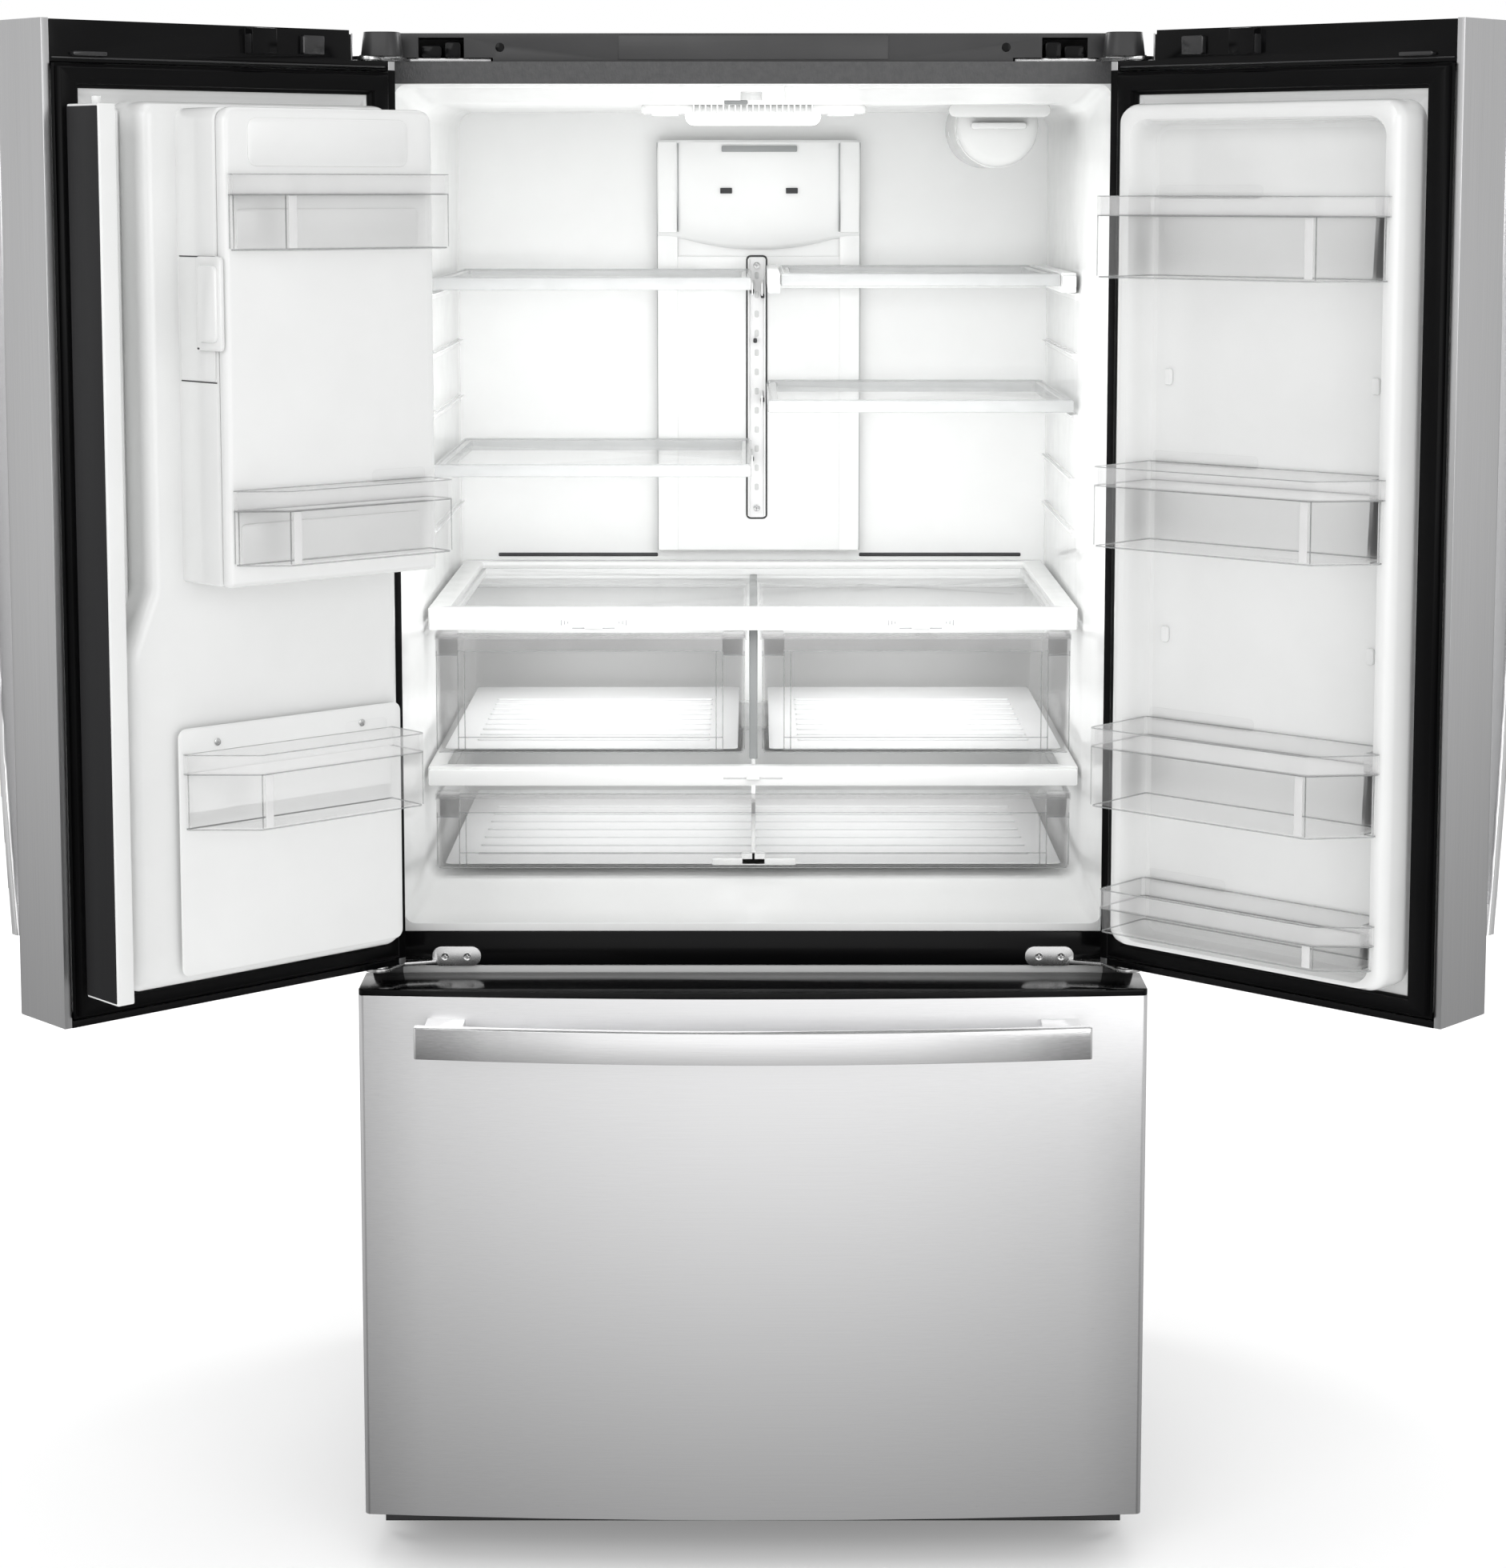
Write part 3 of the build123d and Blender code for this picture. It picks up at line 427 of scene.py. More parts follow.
def make_object(name, mesh, body, material, replaces=(), smooth=35):
    data = bpy.data.meshes.new(name)
    mesh.to_mesh(data)
    mesh.free()
    data.shade_smooth()
    data.set_sharp_from_angle(angle=math.radians(smooth))
    piece = bpy.data.objects.new(name, data)
    bpy.context.scene.collection.objects.link(piece)
    piece.data.materials.append(MATERIALS[material])
    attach(piece, body)
    if replaces:
        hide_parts(*replaces)


BODY_OF = {n: body for body, nodes in frame["record"]["behaviour"]["bodies"].items() for n in nodes}


def finish_nodes(material, nodes, bevel, segments=2):
    """CAD nodes' own shapes with their sharp edges rounded, in their finished material."""
    for node in nodes:
        mesh = bmesh.new()
        mesh.from_mesh(frame["nodes"][node].data)
        bmesh.ops.remove_doubles(mesh, verts=mesh.verts, dist=2e-6)
        bmesh.ops.dissolve_limit(mesh, angle_limit=math.radians(1.0), verts=mesh.verts, edges=mesh.edges)
        bmesh.ops.recalc_face_normals(mesh, faces=mesh.faces)
        soften(mesh, bevel, segments)
        make_object(node + "_finish", mesh, BODY_OF[node], material, (node,))


# ------------------------------------------------------------------ plain CAD shapes, softened
finish_nodes("case", ["cabinet_shell", "rear_cover"], bevel=0.4)
finish_nodes("liner", ["fresh_food_liner", "freezer_liner", "freezer_door_liner"], bevel=2.0, segments=3)
finish_nodes("black", ["mullion_rail", "left_door_caps", "right_door_caps", "freezer_front_caps"], bevel=1.0)
finish_nodes("cover", ["hinge_cover_bar", "base_grille"], bevel=1.2)
finish_nodes("steel", ["left_door_skin", "right_door_skin"], bevel=0.5)
finish_nodes("steel_level", ["freezer_front_skin"], bevel=0.5)
finish_nodes("bar", ["left_door_handle", "right_door_handle"], bevel=0.8)
finish_nodes("bar_level", ["freezer_handle"], bevel=0.8)
finish_nodes("plate", ["top_hinges", "lower_hinges", "freezer_slides"], bevel=0.5)
finish_nodes("clear", ["ice_bucket"], bevel=0.6)
finish_nodes("basket", ["lower_basket", "upper_basket"], bevel=1.2)
finish_nodes("black", ["dispenser_housing", "dispenser_paddle"], bevel=1.0)
finish_nodes("machine", ["cooling_circuit"], bevel=1.0)
FAN_LEGS_ROLLERS = ["condenser_fan", "left_levelling_leg", "right_levelling_leg", "rear_rollers"]
finish_nodes("dark", FAN_LEGS_ROLLERS, bevel=0.6)
finish_nodes("valve", ["water_valve"], bevel=0.6)


# ------------------------------------------------------------------ shared shapes
def tray(piece, corners, z, wall=2.4, radius=6.0, draft=2.0, floor=3.0, foot=4.0):
    """An open-topped moulded box: drafted walls, a rounded foot and a floor of its own thickness."""
    low, high = z
    outside = [
        (draft + foot, low),
        (draft + foot * 0.45, low + foot * 0.12),
        (draft + foot * 0.12, low + foot * 0.45),
        (draft, low + foot),
        (0, high),
    ]
    inside = [
        (wall, high),
        (draft + wall, low + floor + foot),
        (draft + wall + foot * 0.3, low + floor + foot * 0.3),
        (draft + wall + foot, low + floor),
    ]
    piece.stack(corners, outside + inside, radius, 5)


def band(piece, corners, z, wall=3.0, radius=6.0, proud=1.2, soft=1.0):
    """A rim that runs round a tray's open top."""
    low, high = z
    profile = [
        (-proud, low),
        (-proud, high - soft),
        (soft - proud, high),
        (wall - soft, high),
        (wall, high - soft),
        (wall, low),
    ]
    piece.stack(corners, profile, radius, 5, closed=True)


def frame_ring(piece, outer, inner, z, radii=(6, 4), soft=1.2):
    """A flat frame between an outer and an inner rectangle, with softened upper edges."""
    low, high = z
    profile = [
        (0, 0, low),
        (0, 0, high - soft),
        (0, soft * 0.3, high - soft * 0.3),
        (0, soft, high),
        (1, -soft, high),
        (1, -soft * 0.3, high - soft * 0.3),
        (1, 0, high - soft),
        (1, 0, low),
    ]
    piece.between(outer, inner, profile, radii, 5, closed=True)


def screw(piece, centre, radius, heights):
    """A pan-head screw with a cross on its head, standing on an upright surface."""
    base, top = heights
    piece.disc(centre, radius, heights, edge=radius * 0.4, sides=20)
    sunk = top + (base - top) * 0.02
    lift = 0.12 if top > base else -0.12
    arm, thin = radius * 0.62, radius * 0.16
    for wide, high in ((arm, thin), (thin, arm)):
        across = (centre[0] - wide, centre[0] + wide)
        up = (centre[1] - high, centre[1] + high)
        piece.slab(across, sorted((sunk, sunk + lift)), up, 0.2, 0.04)


# ------------------------------------------------------------------ door seals
def seal(name, place, body, outer, inner, section, replaces):
    """A magnetic seal, mitred at its corners; its section is a list of (share across, height)."""
    piece = Piece(place, "xz")
    profile = [(share, 0, height) for share, height in section]
    piece.between(outer, inner, profile, (SHARPEST, SHARPEST), 1, closed=True)
    piece.finish(name, body, "gasket", (replaces,), smooth=50)


# a bellows fold on each side of the magnet pad
PROUD = 10.6  # how far the pad stands out from the door
BELLOWS = [(0, 0.2), (0, 4.0), (0.03, 5.0), (0.08, 4.2), (0.12, 4.4)]
MAGNET_PAD = [(0.18, PROUD - 0.6), (0.22, PROUD), (0.78, PROUD), (0.83, PROUD - 0.6)]
DOOR_SECTION = BELLOWS + MAGNET_PAD + [(0.87, 5.4), (0.92, 5.0), (1, 3.2), (1, 0.2)]
for side, place in DOORS.items():
    outer, inner = rectangle((12, 441), (715, 1729)), rectangle((40, 411), (735, 1703))
    seal(f"{side}_seal", place, f"{side}_door", outer, inner, DOOR_SECTION, f"{side}_door_gasket")

# stops and ribs on the back of each door's top cap, in a lighter copy of the caps' black that paints highlights on
# them
for side, place in DOORS.items():
    stops = Piece(place, "xz")
    outline = [(167.5, 1744), (200.5, 1744), (200.5, 1765), (192, 1772.5), (167.5, 1772.5)]
    stops.stack(outline, [(0, -1.5), (0, 11), (0.8, 13), (2.4, 13.9)], 2, 3)
    stops.slab((99.5, 128.5), (-1.5, 6.4), (1745.5, 1766.5), 2.5, 1.6)
    stops.slab((376.5, 417.5), (-1.5, 7.4), (1736.6, 1741.4), 2, 1.2)
    stops.slab((14, 440), (-1.2, 1.6), (1733.5, 1735.5), 1, 0.6)
    stops.finish(f"{side}_cap_stops", f"{side}_door", "cap_highlight_grey")

DRAWER_PAD = [(0.15, -7.5), (0.2, -1.9), (0.8, -1.9), (0.85, -7)]
DRAWER_SECTION = [(0, -12.2), (0, -7)] + DRAWER_PAD + [(1, -9), (1, -12.2)]
outer, inner = rectangle((-440, 440), (70, 679)), rectangle((-416, 416), (94, 655))
seal("drawer_seal", in_cabinet, "freezer_drawer", outer, inner, DRAWER_SECTION, "freezer_gasket")


# ------------------------------------------------------------------ door bins
BAND = 21.0  # the height of a bin's rim band


def door_bin(name, place, body, corners, z, radii, replaces=(), hump_u=None, hump_w=None):
    """A clear bin: a drafted tray, a rim band, thin dark lines painted as shade along its edges, a bright strip
    painted as a highlight at its front bend, and a tab on its back wall.
    """
    low, high = z
    tub = Piece(place)
    tray(tub, corners, (low, high - BAND + 1), 2.2, radii, 1.6)
    us = [u for u, w in corners]
    front = max(w for u, w in corners)
    if hump_u:
        tub.slab(hump_u, hump_w, (high - 3, high + 12), 5.5, 0.8, flat="xz")
    tub.finish(f"{name}_tub", body, "clear", replaces, smooth=40)
    rim = Piece(place)
    band(rim, corners, (high - BAND, high), 2.8, radii)
    rim.finish(f"{name}_rim", body, "clear_rim", smooth=40)
    # thin dark lines painted as shade along the bin's edges and front corners
    lines = Piece(place)
    band(lines, corners, (low + 1.0, low + 2.6), 1.6, radii, -1.2, 0.3)
    band(lines, corners, (high - BAND - 0.9, high - BAND + 0.2), 1.0, radii, 1.35, 0.2)
    band(lines, corners, (high - 0.8, high + 0.2), 1.2, radii, 1.3, 0.2)
    for u, w in corners:
        if w == front or u == max(us):
            inner_u = u - 1.8 if u > min(us) + 5 else u + 1.8
            lines.slab((inner_u - 0.6, inner_u + 0.6), (w - 2.6, w - 1.2), (low + 3, high - BAND), 0.5, 0.3)
    lines.finish(f"{name}_lines", body, "painted_edge_shade", smooth=40)
    # a bright strip painted as the highlight down the bend of the bin's front
    painted_highlight_strip = Piece(place)
    bend = max(u for u, w in corners if w == front)
    painted_highlight_strip.slab((bend - 15, bend - 5), (front - 1.5, front - 0.3), (low + 4, high - BAND - 1), 1.5, 0.4)
    painted_highlight_strip.finish(f"{name}_flash", body, "painted_highlight_clear", smooth=40)


RIGHT_BIN = [(68, 10), (386, 10), (386, 53), (400, 53), (400, 61), (352, 118), (68, 118)]
RIGHT_RADII = [4, 4, 1.5, 1.5, 5, 12, 8]
for index, low in enumerate((914, 1205, 1501)):
    door_bin(
        f"right_bin_{index + 1}", in_right_door, "right_door", RIGHT_BIN, (low, low + 90), RIGHT_RADII,
        ("right_door_bins",) if index == 0 else (), (74, 214), (11, 13.4),
    )
SHALLOW_BIN = [(68, 10), (386, 10), (386, 53), (398, 53), (398, 61), (352, 98), (68, 98)]
door_bin(
    "right_bin_low", in_right_door, "right_door", SHALLOW_BIN, (768, 818), RIGHT_RADII, ("right_bottom_bin",),
    (74, 180), (11, 13.4),
)
ICE_BIN = [(72, 152.4), (326, 152.4), (326, 160), (285, 195), (72, 195)]
FIVE_RADII = [4, 2, 4, 9, 7]
for index, low in enumerate((1206, 1534)):
    door_bin(
        f"ice_bin_{index + 1}", in_left_door, "ice_door", ICE_BIN, (low, low + 80), FIVE_RADII,
        ("ice_door_bins",) if index == 0 else (), (80, 150) if index == 0 else None, (153, 155),
    )
LEFT_BIN = [(66, 68.4), (340, 68.4), (340, 76), (282, 130), (66, 130)]
door_bin(
    "left_bin_low", in_left_door, "left_door", LEFT_BIN, (916, 999), FIVE_RADII, ("left_lower_bin",),
    (74, 130), (69, 71),
)

# small buttons that hold the right bins, two to a bin height that isn't in use
buttons = Piece(in_right_door, "xz")
for u in (92, 360):
    for z in (1100, 1390):
        buttons.slab((u - 5, u + 5), (7.8, 12.5), (z - 9, z + 9), 3.0, 1.6)
buttons.finish("right_liner_buttons", "right_door", "liner")

# ------------------------------------------------------------------ door inner liners
for side, place in DOORS.items():
    # the thin sheet behind the seal, with the channel round the raised dike
    sheet = Piece(place, "xz")
    sheet.stack(
        rectangle((14, 439), (717, 1727)),
        [(0, -14), (0, -0.6), (0.8, 0.1), (26, 0.1), (28, -1.2), (31, -1.2), (33, 0.1), (60, 0.1)],
        10,
        5,
    )
    sheet.finish(f"{side}_liner_sheet", f"{side}_door", "liner", (f"{side}_door_liner",))
    strip = Piece(place, "xz")
    strip.slab((0.6, 12.5), (-0.1, 1.0), (712, 1731), 1, 0.3)
    strip.finish(f"{side}_hinge_side_strip", f"{side}_door", "gasket")

# right: a raised picture frame round a shallow panel
dike = Piece(in_right_door, "xz")
OUTER_SIDE = [(0, 0, -1), (0, 0, 36), (0, 1.2, 44), (0, 4, 49.5)]
CREST = [(0.4, 0, 52), (0.62, 0, 52), (0.86, 0, 50.5)]
INNER_SIDE = [(1, -1.4, 47), (1, -0.2, 40), (1, 0, 30), (1, 0.6, 14), (1, 3.5, 9), (1, 9, 7.8)]
outer, inner = rectangle((46, 408), (744, 1692)), rectangle((66, 388), (753, 1672))
dike.between(outer, inner, OUTER_SIDE + CREST + INNER_SIDE, (22, 22), 8)
dike.finish("right_liner_dike", "right_door", "liner", smooth=40)
panel_back = Piece(in_right_door, "xz")
panel_back.slab((60, 394), (2, 8), (748, 1678), 14, 1)
panel_back.finish("right_liner_panel", "right_door", "liner")

# left: the raised face widens below the ice box
dike = Piece(in_left_door, "xz")
DIKE_TOP = 1690.0
outline = [(46, 744), (400, 744), (400, 1110), (372, 1176), (372, DIKE_TOP), (46, DIKE_TOP)]
ROUNDED_FACE = [(0, -1), (0, 30), (0.4, 42), (1.6, 50), (4.6, 56), (9, 59.2), (15, 60)]
dike.stack(outline, ROUNDED_FACE, [18, 12, 40, 30, 18, 18], 7)
dike.finish("left_liner_dike", "left_door", "liner", smooth=40)
shoulder = Piece(in_left_door, "xz")
shoulder.stack(rectangle((371, 400), (1100, DIKE_TOP - 4)), [(0, -1), (0, 14), (2, 20), (6, 24)], 8, 6)
shoulder.finish("left_liner_shoulder", "left_door", "liner", smooth=40)

# ------------------------------------------------------------------ ice box housing and ice maker
ICE_FACE = rectangle((60, 330), (1183, 1683))
housing = Piece(in_left_door, "xz")
housing.stack(
    ICE_FACE,
    [(0, 58), (0, 128), (0.8, 130.6), (2.4, 132), (7.6, 132), (9, 130.6), (9.4, 128), (9.4, 66)],
    [6, 4, 13, 13],
    6,
)
housing.finish("ice_box_shell", "left_door", "liner", ("ice_box_housing",))
maker = Piece(in_left_door)
maker.slab((92, 298), (68, 112), (1602, 1672), 6, 3)
for k in range(8):
    maker.slab((106 + 24 * k, 118 + 24 * k), (110, 118), (1612, 1640), 3, 1.5, flat="xz")
maker.slab((300, 314), (72, 104), (1610, 1664), 5, 2)
maker.finish("ice_maker", "left_door", "post")

# ------------------------------------------------------------------ ice box door, latch and lower panel
ice_front = Piece(in_left_door, "xz")
FRONT_ROWS = [(1, 136), (0, 137), (0, 142), (1, 146.5), (3.2, 149.2), (6, 150)]
ice_front.stack(ICE_FACE, FRONT_ROWS, [5, 5, 16, 16], 6)
for z in (1208, 1536):
    ice_front.slab((84, 316), (149.4, 151.8), (z, z + 42), 5, 1.0)
ice_front.slab((96, 300), (149.6, 151.2), (1622, 1672), 10, 1.2)
ice_front.finish("ice_front", "ice_door", "liner", ("ice_box_door",))

seams = Piece(in_left_door, "yz")
for z in (1528.5, 1397.5):
    seams.slab((329.8, 330.3), (64, 131), (z - 0.7, z + 0.7), 0.3, 0.1)
seams.finish("ice_box_seams", "left_door", "shadow")
side_cover = Piece(in_left_door, "yz")
side_cover.slab((329.9, 331.0), (64, 130), (1399, 1527), 4, 0.5)
side_cover.finish("ice_box_side_cover", "left_door", "liner")

latch = Piece(in_left_door, "yz")
latch.slab((331.6, 337.0), (104, 150), (1431, 1529), 5, 1.5)
latch.slab((336.2, 341.0), (112, 146), (1440, 1520), 6, 1.8)
latch.finish("ice_latch_flap", "ice_latch", "liner", ("ice_box_latch",))
latch_dots = Piece(in_left_door, "yz")
latch_dots.disc((108.5, 1480), 1.3, (336.9, 337.3), sides=12)
latch_dots.slab((336.9, 337.2), (106, 110), (1432, 1434), 0.5, 0.1)
latch_dots.finish("ice_latch_marks", "ice_latch", "shadow")

panel = Piece(in_left_door, "xz")
panel.stack(rectangle((54, 346), (756, 1026)), [(0, 67.6), (0, 68.4), (0.8, 69.2), (2.2, 69.6)], 10, 6)
panel.finish("left_lower_panel", "left_door", "liner")
panel_screws = Piece(in_left_door, "xz")
for u in (108, 298):
    screw(panel_screws, (u, 1008), 4.2, (69.4, 71.4))
panel_screws.finish("left_panel_screws", "left_door", "plate")

# ------------------------------------------------------------------ flipper
flipper = Piece(in_left_door)
FLIPPER_ROWS = [(1.4, 742), (0.4, 742.5), (0, 743.5), (0, 1684.5), (0.4, 1685.5), (1.4, 1686)]
flipper.stack(rectangle((414, 435.2), (20, 82)), FLIPPER_ROWS, 2.5, 4)
flipper.disc((425, 62), 5, (1685.8, 1694), 1.2)
flipper.finish("flipper_body", "flipper", "liner", ("flipper",))
plate = Piece(in_left_door, "yz")
plate.slab((435.0, 436.0), (21.8, 80.2), (744.5, 1683.5), 1.2, 0.35)
plate.finish("flipper_plate", "flipper", "flipper")

# ------------------------------------------------------------------ crisper cover, its pane rim and sliders
cover = Piece(in_cabinet)
COVER_DEPTH = (137, 660)
outer, inner = rectangle((-392, 392), COVER_DEPTH), rectangle((-366, 366), (160, 632))
frame_ring(cover, outer, inner, (1074, 1096), (4, 3))
outer, inner = rectangle((-367, 367), (159, 633)), rectangle((-361, 361), (166, 626))
frame_ring(cover, outer, inner, (1080, 1087.6), (3, 2), 0.8)
cover.slab((-390, 390), (131, 139), (1070, 1096), 2.4, 1.6, flat="xz")
cover.finish("crisper_cover_frame", "cabinet", "liner", ("crisper_cover",))
post = Piece(in_cabinet)
post.slab((-4.6, 5.6), (160, 640), (908, 1079), 2, 1)
post.finish("crisper_post", "cabinet", "post")
marks = Piece(in_cabinet, "xz")
SLIDER_X = {"left": -192, "right": 202}
for x in SLIDER_X.values():
    marks.slab((x - 26, x + 26), (130.7, 131.2), (1072.2, 1073.6), 0.5, 0.1)
    for k in range(3):
        for sign in (-1, 1):
            dot = x + sign * (31 + 4 * k)
            marks.slab((dot - 0.7, dot + 0.7), (130.8, 131.1), (1078 - k, 1081 + k), 0.3, 0.1)
marks.finish("humidity_marks", "cabinet", "post")


def slider_tab(name, body, x, z, half):
    """A finger tab, narrower at its top, for the slider node of its body's name."""
    tab = Piece(in_cabinet, "xz")
    outline = [(x - half, z - 4), (x + half, z - 4), (x + half - 4, z + 5), (x - half + 4, z + 5)]
    tab.stack(outline, [(0.6, 131.3), (0, 130.6), (0, 127.2), (0.5, 126.3), (1.6, 126)], 1.4, 3)
    tab.finish(name, body, "liner", (body,))


for side, x in SLIDER_X.items():
    slider_tab(f"{side}_slider_tab", f"{side}_humidity_slider", x, 1076.5, 12)
slider_tab("deli_slider_tab", "deli_slider", 0, 892, 9)

deli_top = Piece(in_cabinet)
outer, inner = rectangle((-394, 394), COVER_DEPTH), rectangle((-372, 372), (160, 640))
frame_ring(deli_top, outer, inner, (884, 902), (4, 3))
deli_top.slab((-393, 393), (131, 139), (880, 900), 2.4, 1.6, flat="xz")
deli_top.finish("deli_cover_frame", "cabinet", "liner", ("deli_cover",))
deli_pane = Piece(in_cabinet)
deli_pane.slab((-373, 373), (159, 641), (886, 888), 2, 0.5)
deli_pane.finish("deli_cover_pane", "cabinet", "glass")
deli_track = Piece(in_cabinet, "xz")
deli_track.slab((-36, 36), (130.6, 131.4), (888.4, 890.6), 1, 0.2)
deli_track.finish("deli_slider_track", "cabinet", "rim")


# ------------------------------------------------------------------ crisper drawers and deli pan
DRAWER_DEPTH = (137, 648)


def drawer_box(name, body, x, z, bracket=27.0, lip=22.0, ribs=9):
    """A clear drawer, for the node of its body's name: tray, front frame, brackets and a ribbed floor."""
    low, high = z
    tub = Piece(in_cabinet)
    tray(tub, rectangle(x, DRAWER_DEPTH), (low, high - 6), 2.4, 9, 3.0)
    tub.slab(x, (132.4, 135.4), (low + 1, high), 5, 1.2, flat="xz")
    tub.finish(f"{name}_tub", body, "clear", (body,), smooth=40)
    trim = Piece(in_cabinet)
    inner = (x[0] + bracket, x[1] - bracket)
    trim.slab(inner, (130.6, 133), (high - lip, high - 1), 1.5, 0.7, flat="xz")
    # thin dark lines painted as shade along the drawer front's edges, corners and foot
    lines = Piece(in_cabinet, "xz")
    for z_line in (low + 4, low + 19, high - lip - 0.6):
        lines.slab(inner, (130.9, 132.2), (z_line, z_line + 1.0), 0.5, 0.3)
    lines.slab(inner, (131.2, 133.4), (high - 2.2, high - 0.4), 0.6, 0.4)
    for edge in (x[0] + 1.2, inner[0], inner[0] + 8, inner[1] - 8, inner[1], x[1] - 1.2):
        lines.slab((edge - 0.6, edge + 0.6), (130.9, 134), (low + 5, high - lip), 0.5, 0.3)
    corners = ((x[0], inner[0]), (inner[1], x[1]))
    for corner in corners:
        lines.slab(corner, (131.0, 132), (high - lip - 5.8, high - lip - 4.8), 0.4, 0.3)
    lines.slab((x[0] + 3, x[1] - 3), (131.6, 134), (low + 0.6, low + 2), 0.6, 0.4)
    lines.finish(f"{name}_lines", body, "painted_edge_shade", smooth=40)
    for corner in corners:
        trim.slab(corner, (131.4, 150), (high - lip - 5, high + 1), 3.0, 1.2, flat="xz")
    for sign, edge in ((-1, x[0]), (1, x[1])):
        run = sorted((edge, edge + sign * 2))
        trim.slab(run, (140, 646), (high - 10, high - 2), 0.9, 0.6)
    band(trim, rectangle(x, DRAWER_DEPTH), (high - 8, high - 3), 2.6, 9, 0.4, 0.8)
    trim.finish(f"{name}_trim", body, "clear_rim", smooth=40)
    base = Piece(in_cabinet)
    base.slab((x[0] + 9, x[1] - 9), (146, 640), (low + 2.8, low + 3.8), 8, 0.4)
    base.finish(f"{name}_floor", body, "frost", smooth=40)
    ridges = Piece(in_cabinet)
    for k in range(ribs):
        y = 200 + 360 / ribs * k
        ridges.slab((x[0] + 44, x[1] - 44), (y, y + 7.0), (low + 3.6, low + 6.0), 3, 1.2)
    ridges.finish(f"{name}_ribs", body, "frost", smooth=40)


drawer_box("left_crisper", "left_crisper", (-383, -9.5), (920, 1067))
drawer_box("right_crisper", "right_crisper", (10.5, 383), (920, 1067))
drawer_box("deli", "deli_pan", (-384, 384), (778, 871), 28, 24, 7)
divider = Piece(in_cabinet)
divider.slab((-2, 3), (141, 640), (781, 858), 1.5, 1.0, flat="yz")
divider.slab((-50, 52), (141, 146), (780, 789), 2, 1.0, flat="xz")
divider.slab((-14, 15), (141, 146), (781, 797), 2, 1.0, flat="xz")
divider.finish("deli_divider", "deli_pan", "liner")


# ------------------------------------------------------------------ shelves
def shelf(name, body, x, z, y=(215, 644), replaces=()):
    """A moulded shelf rim with an upstand round its pane and a deeper front band."""
    rim = Piece(in_cabinet)
    outer = rectangle(x, (y[0] + 2, y[1]))
    inner = rectangle((x[0] + 13, x[1] - 13), (y[0] + 15, y[1] - 15))
    frame_ring(rim, outer, inner, (z - 11, z + 2.6), (6, 4), 1.6)
    outer = rectangle((x[0] + 2, x[1] - 2), (y[0] + 4, y[1] - 2))
    inner = rectangle((x[0] + 5, x[1] - 5), (y[0] + 7, y[1] - 5))
    frame_ring(rim, outer, inner, (z + 2, z + 4.6), (5, 3), 1.0)
    rim.slab((x[0] + 0.5, x[1] - 0.5), (y[0] - 3, y[0] + 3), (z - 11, z + 4), 2.5, 2.0, flat="xz")
    rim.finish(f"{name}_rim", body, "rim", replaces, smooth=40)


def pane(name, body, x, y, z, replaces=()):
    glass = Piece(in_cabinet)
    glass.slab(x, y, z, 3, 0.8)
    glass.finish(name, body, "glass", replaces)


LEFT, RIGHT = (-392, -2), (18, 392)
SHELVES = [("upper_left", LEFT, 1487), ("lower_left", LEFT, 1259), ("fixed_right", RIGHT, 1338)]
for index, (name, x, z) in enumerate(SHELVES):
    frames, panes = (("shelf_frames",), ("shelf_panes",)) if index == 0 else ((), ())
    shelf(name, "cabinet", x, z, replaces=frames)
    pane(f"{name}_pane", "cabinet", (x[0] + 12.5, x[1] - 12.5), (229.5, 629.5), (z - 4, z), panes)
pane("crisper_pane", "cabinet", (-365.5, 365.5), (160.5, 631.5), (1088, 1092))
shelf("slide_shelf", "slide_shelf", (34, 374), 1492, (215, 643), ("slide_shelf",))
pane("slide_pane", "slide_shelf", (46.5, 361.5), (229.5, 628.5), (1488, 1492))
slide_gap = Piece(in_cabinet, "xz")
slide_gap.slab((44, 364), (228.6, 229.6), (1493.5, 1496.2), 1, 0.3)
slide_gap.finish("slide_shelf_groove", "slide_shelf", "shadow")
carrier = Piece(in_cabinet)
for x in ((18, 33.2), (374.8, 393.5)):
    carrier.slab(x, (219, 644), (1472.5, 1497), 2, 1.5, flat="xz")
    carrier.slab((x[0] + 1, x[1] - 1), (205, 222), (1478, 1494), 3, 2.5)
carrier.slab((19, 393), (632, 644), (1466, 1474), 2, 1)
carrier.finish("slide_shelf_carrier", "cabinet", "liner")

# ------------------------------------------------------------------ air tower and slots in the back wall
tower = Piece(in_cabinet, "xz")
tower.slab((-128.5, 143.5), (658, 679.5), (1108, 1660), 4, 3)
tower.slab((-104, 118), (654.4, 657), (1110, 1508), 3, 1.2)
MIDDLE, HALF, STEPS = 7.5, 136.0, 16  # the cover's centre line, half width and steps across its bow


def bowed_row(z, depth, shrink=0.0, sag=0.0):
    """The tower cover's outline at a height: a bowed front and a straight back, its lower edge an arc."""
    points = []
    for k in range(STEPS + 1):
        share = k / STEPS * 2 - 1
        drop = sag * max(0.0, 1 - (share / 0.8) ** 2)
        front = 655.5 - depth * (1 - 0.45 * share * share)
        points.append((MIDDLE + share * (HALF - shrink), front, z - drop))
    points += [(MIDDLE + HALF - shrink, 662, z), (MIDDLE - HALF + shrink, 662, z)]
    return [in_cabinet(*point) for point in points]


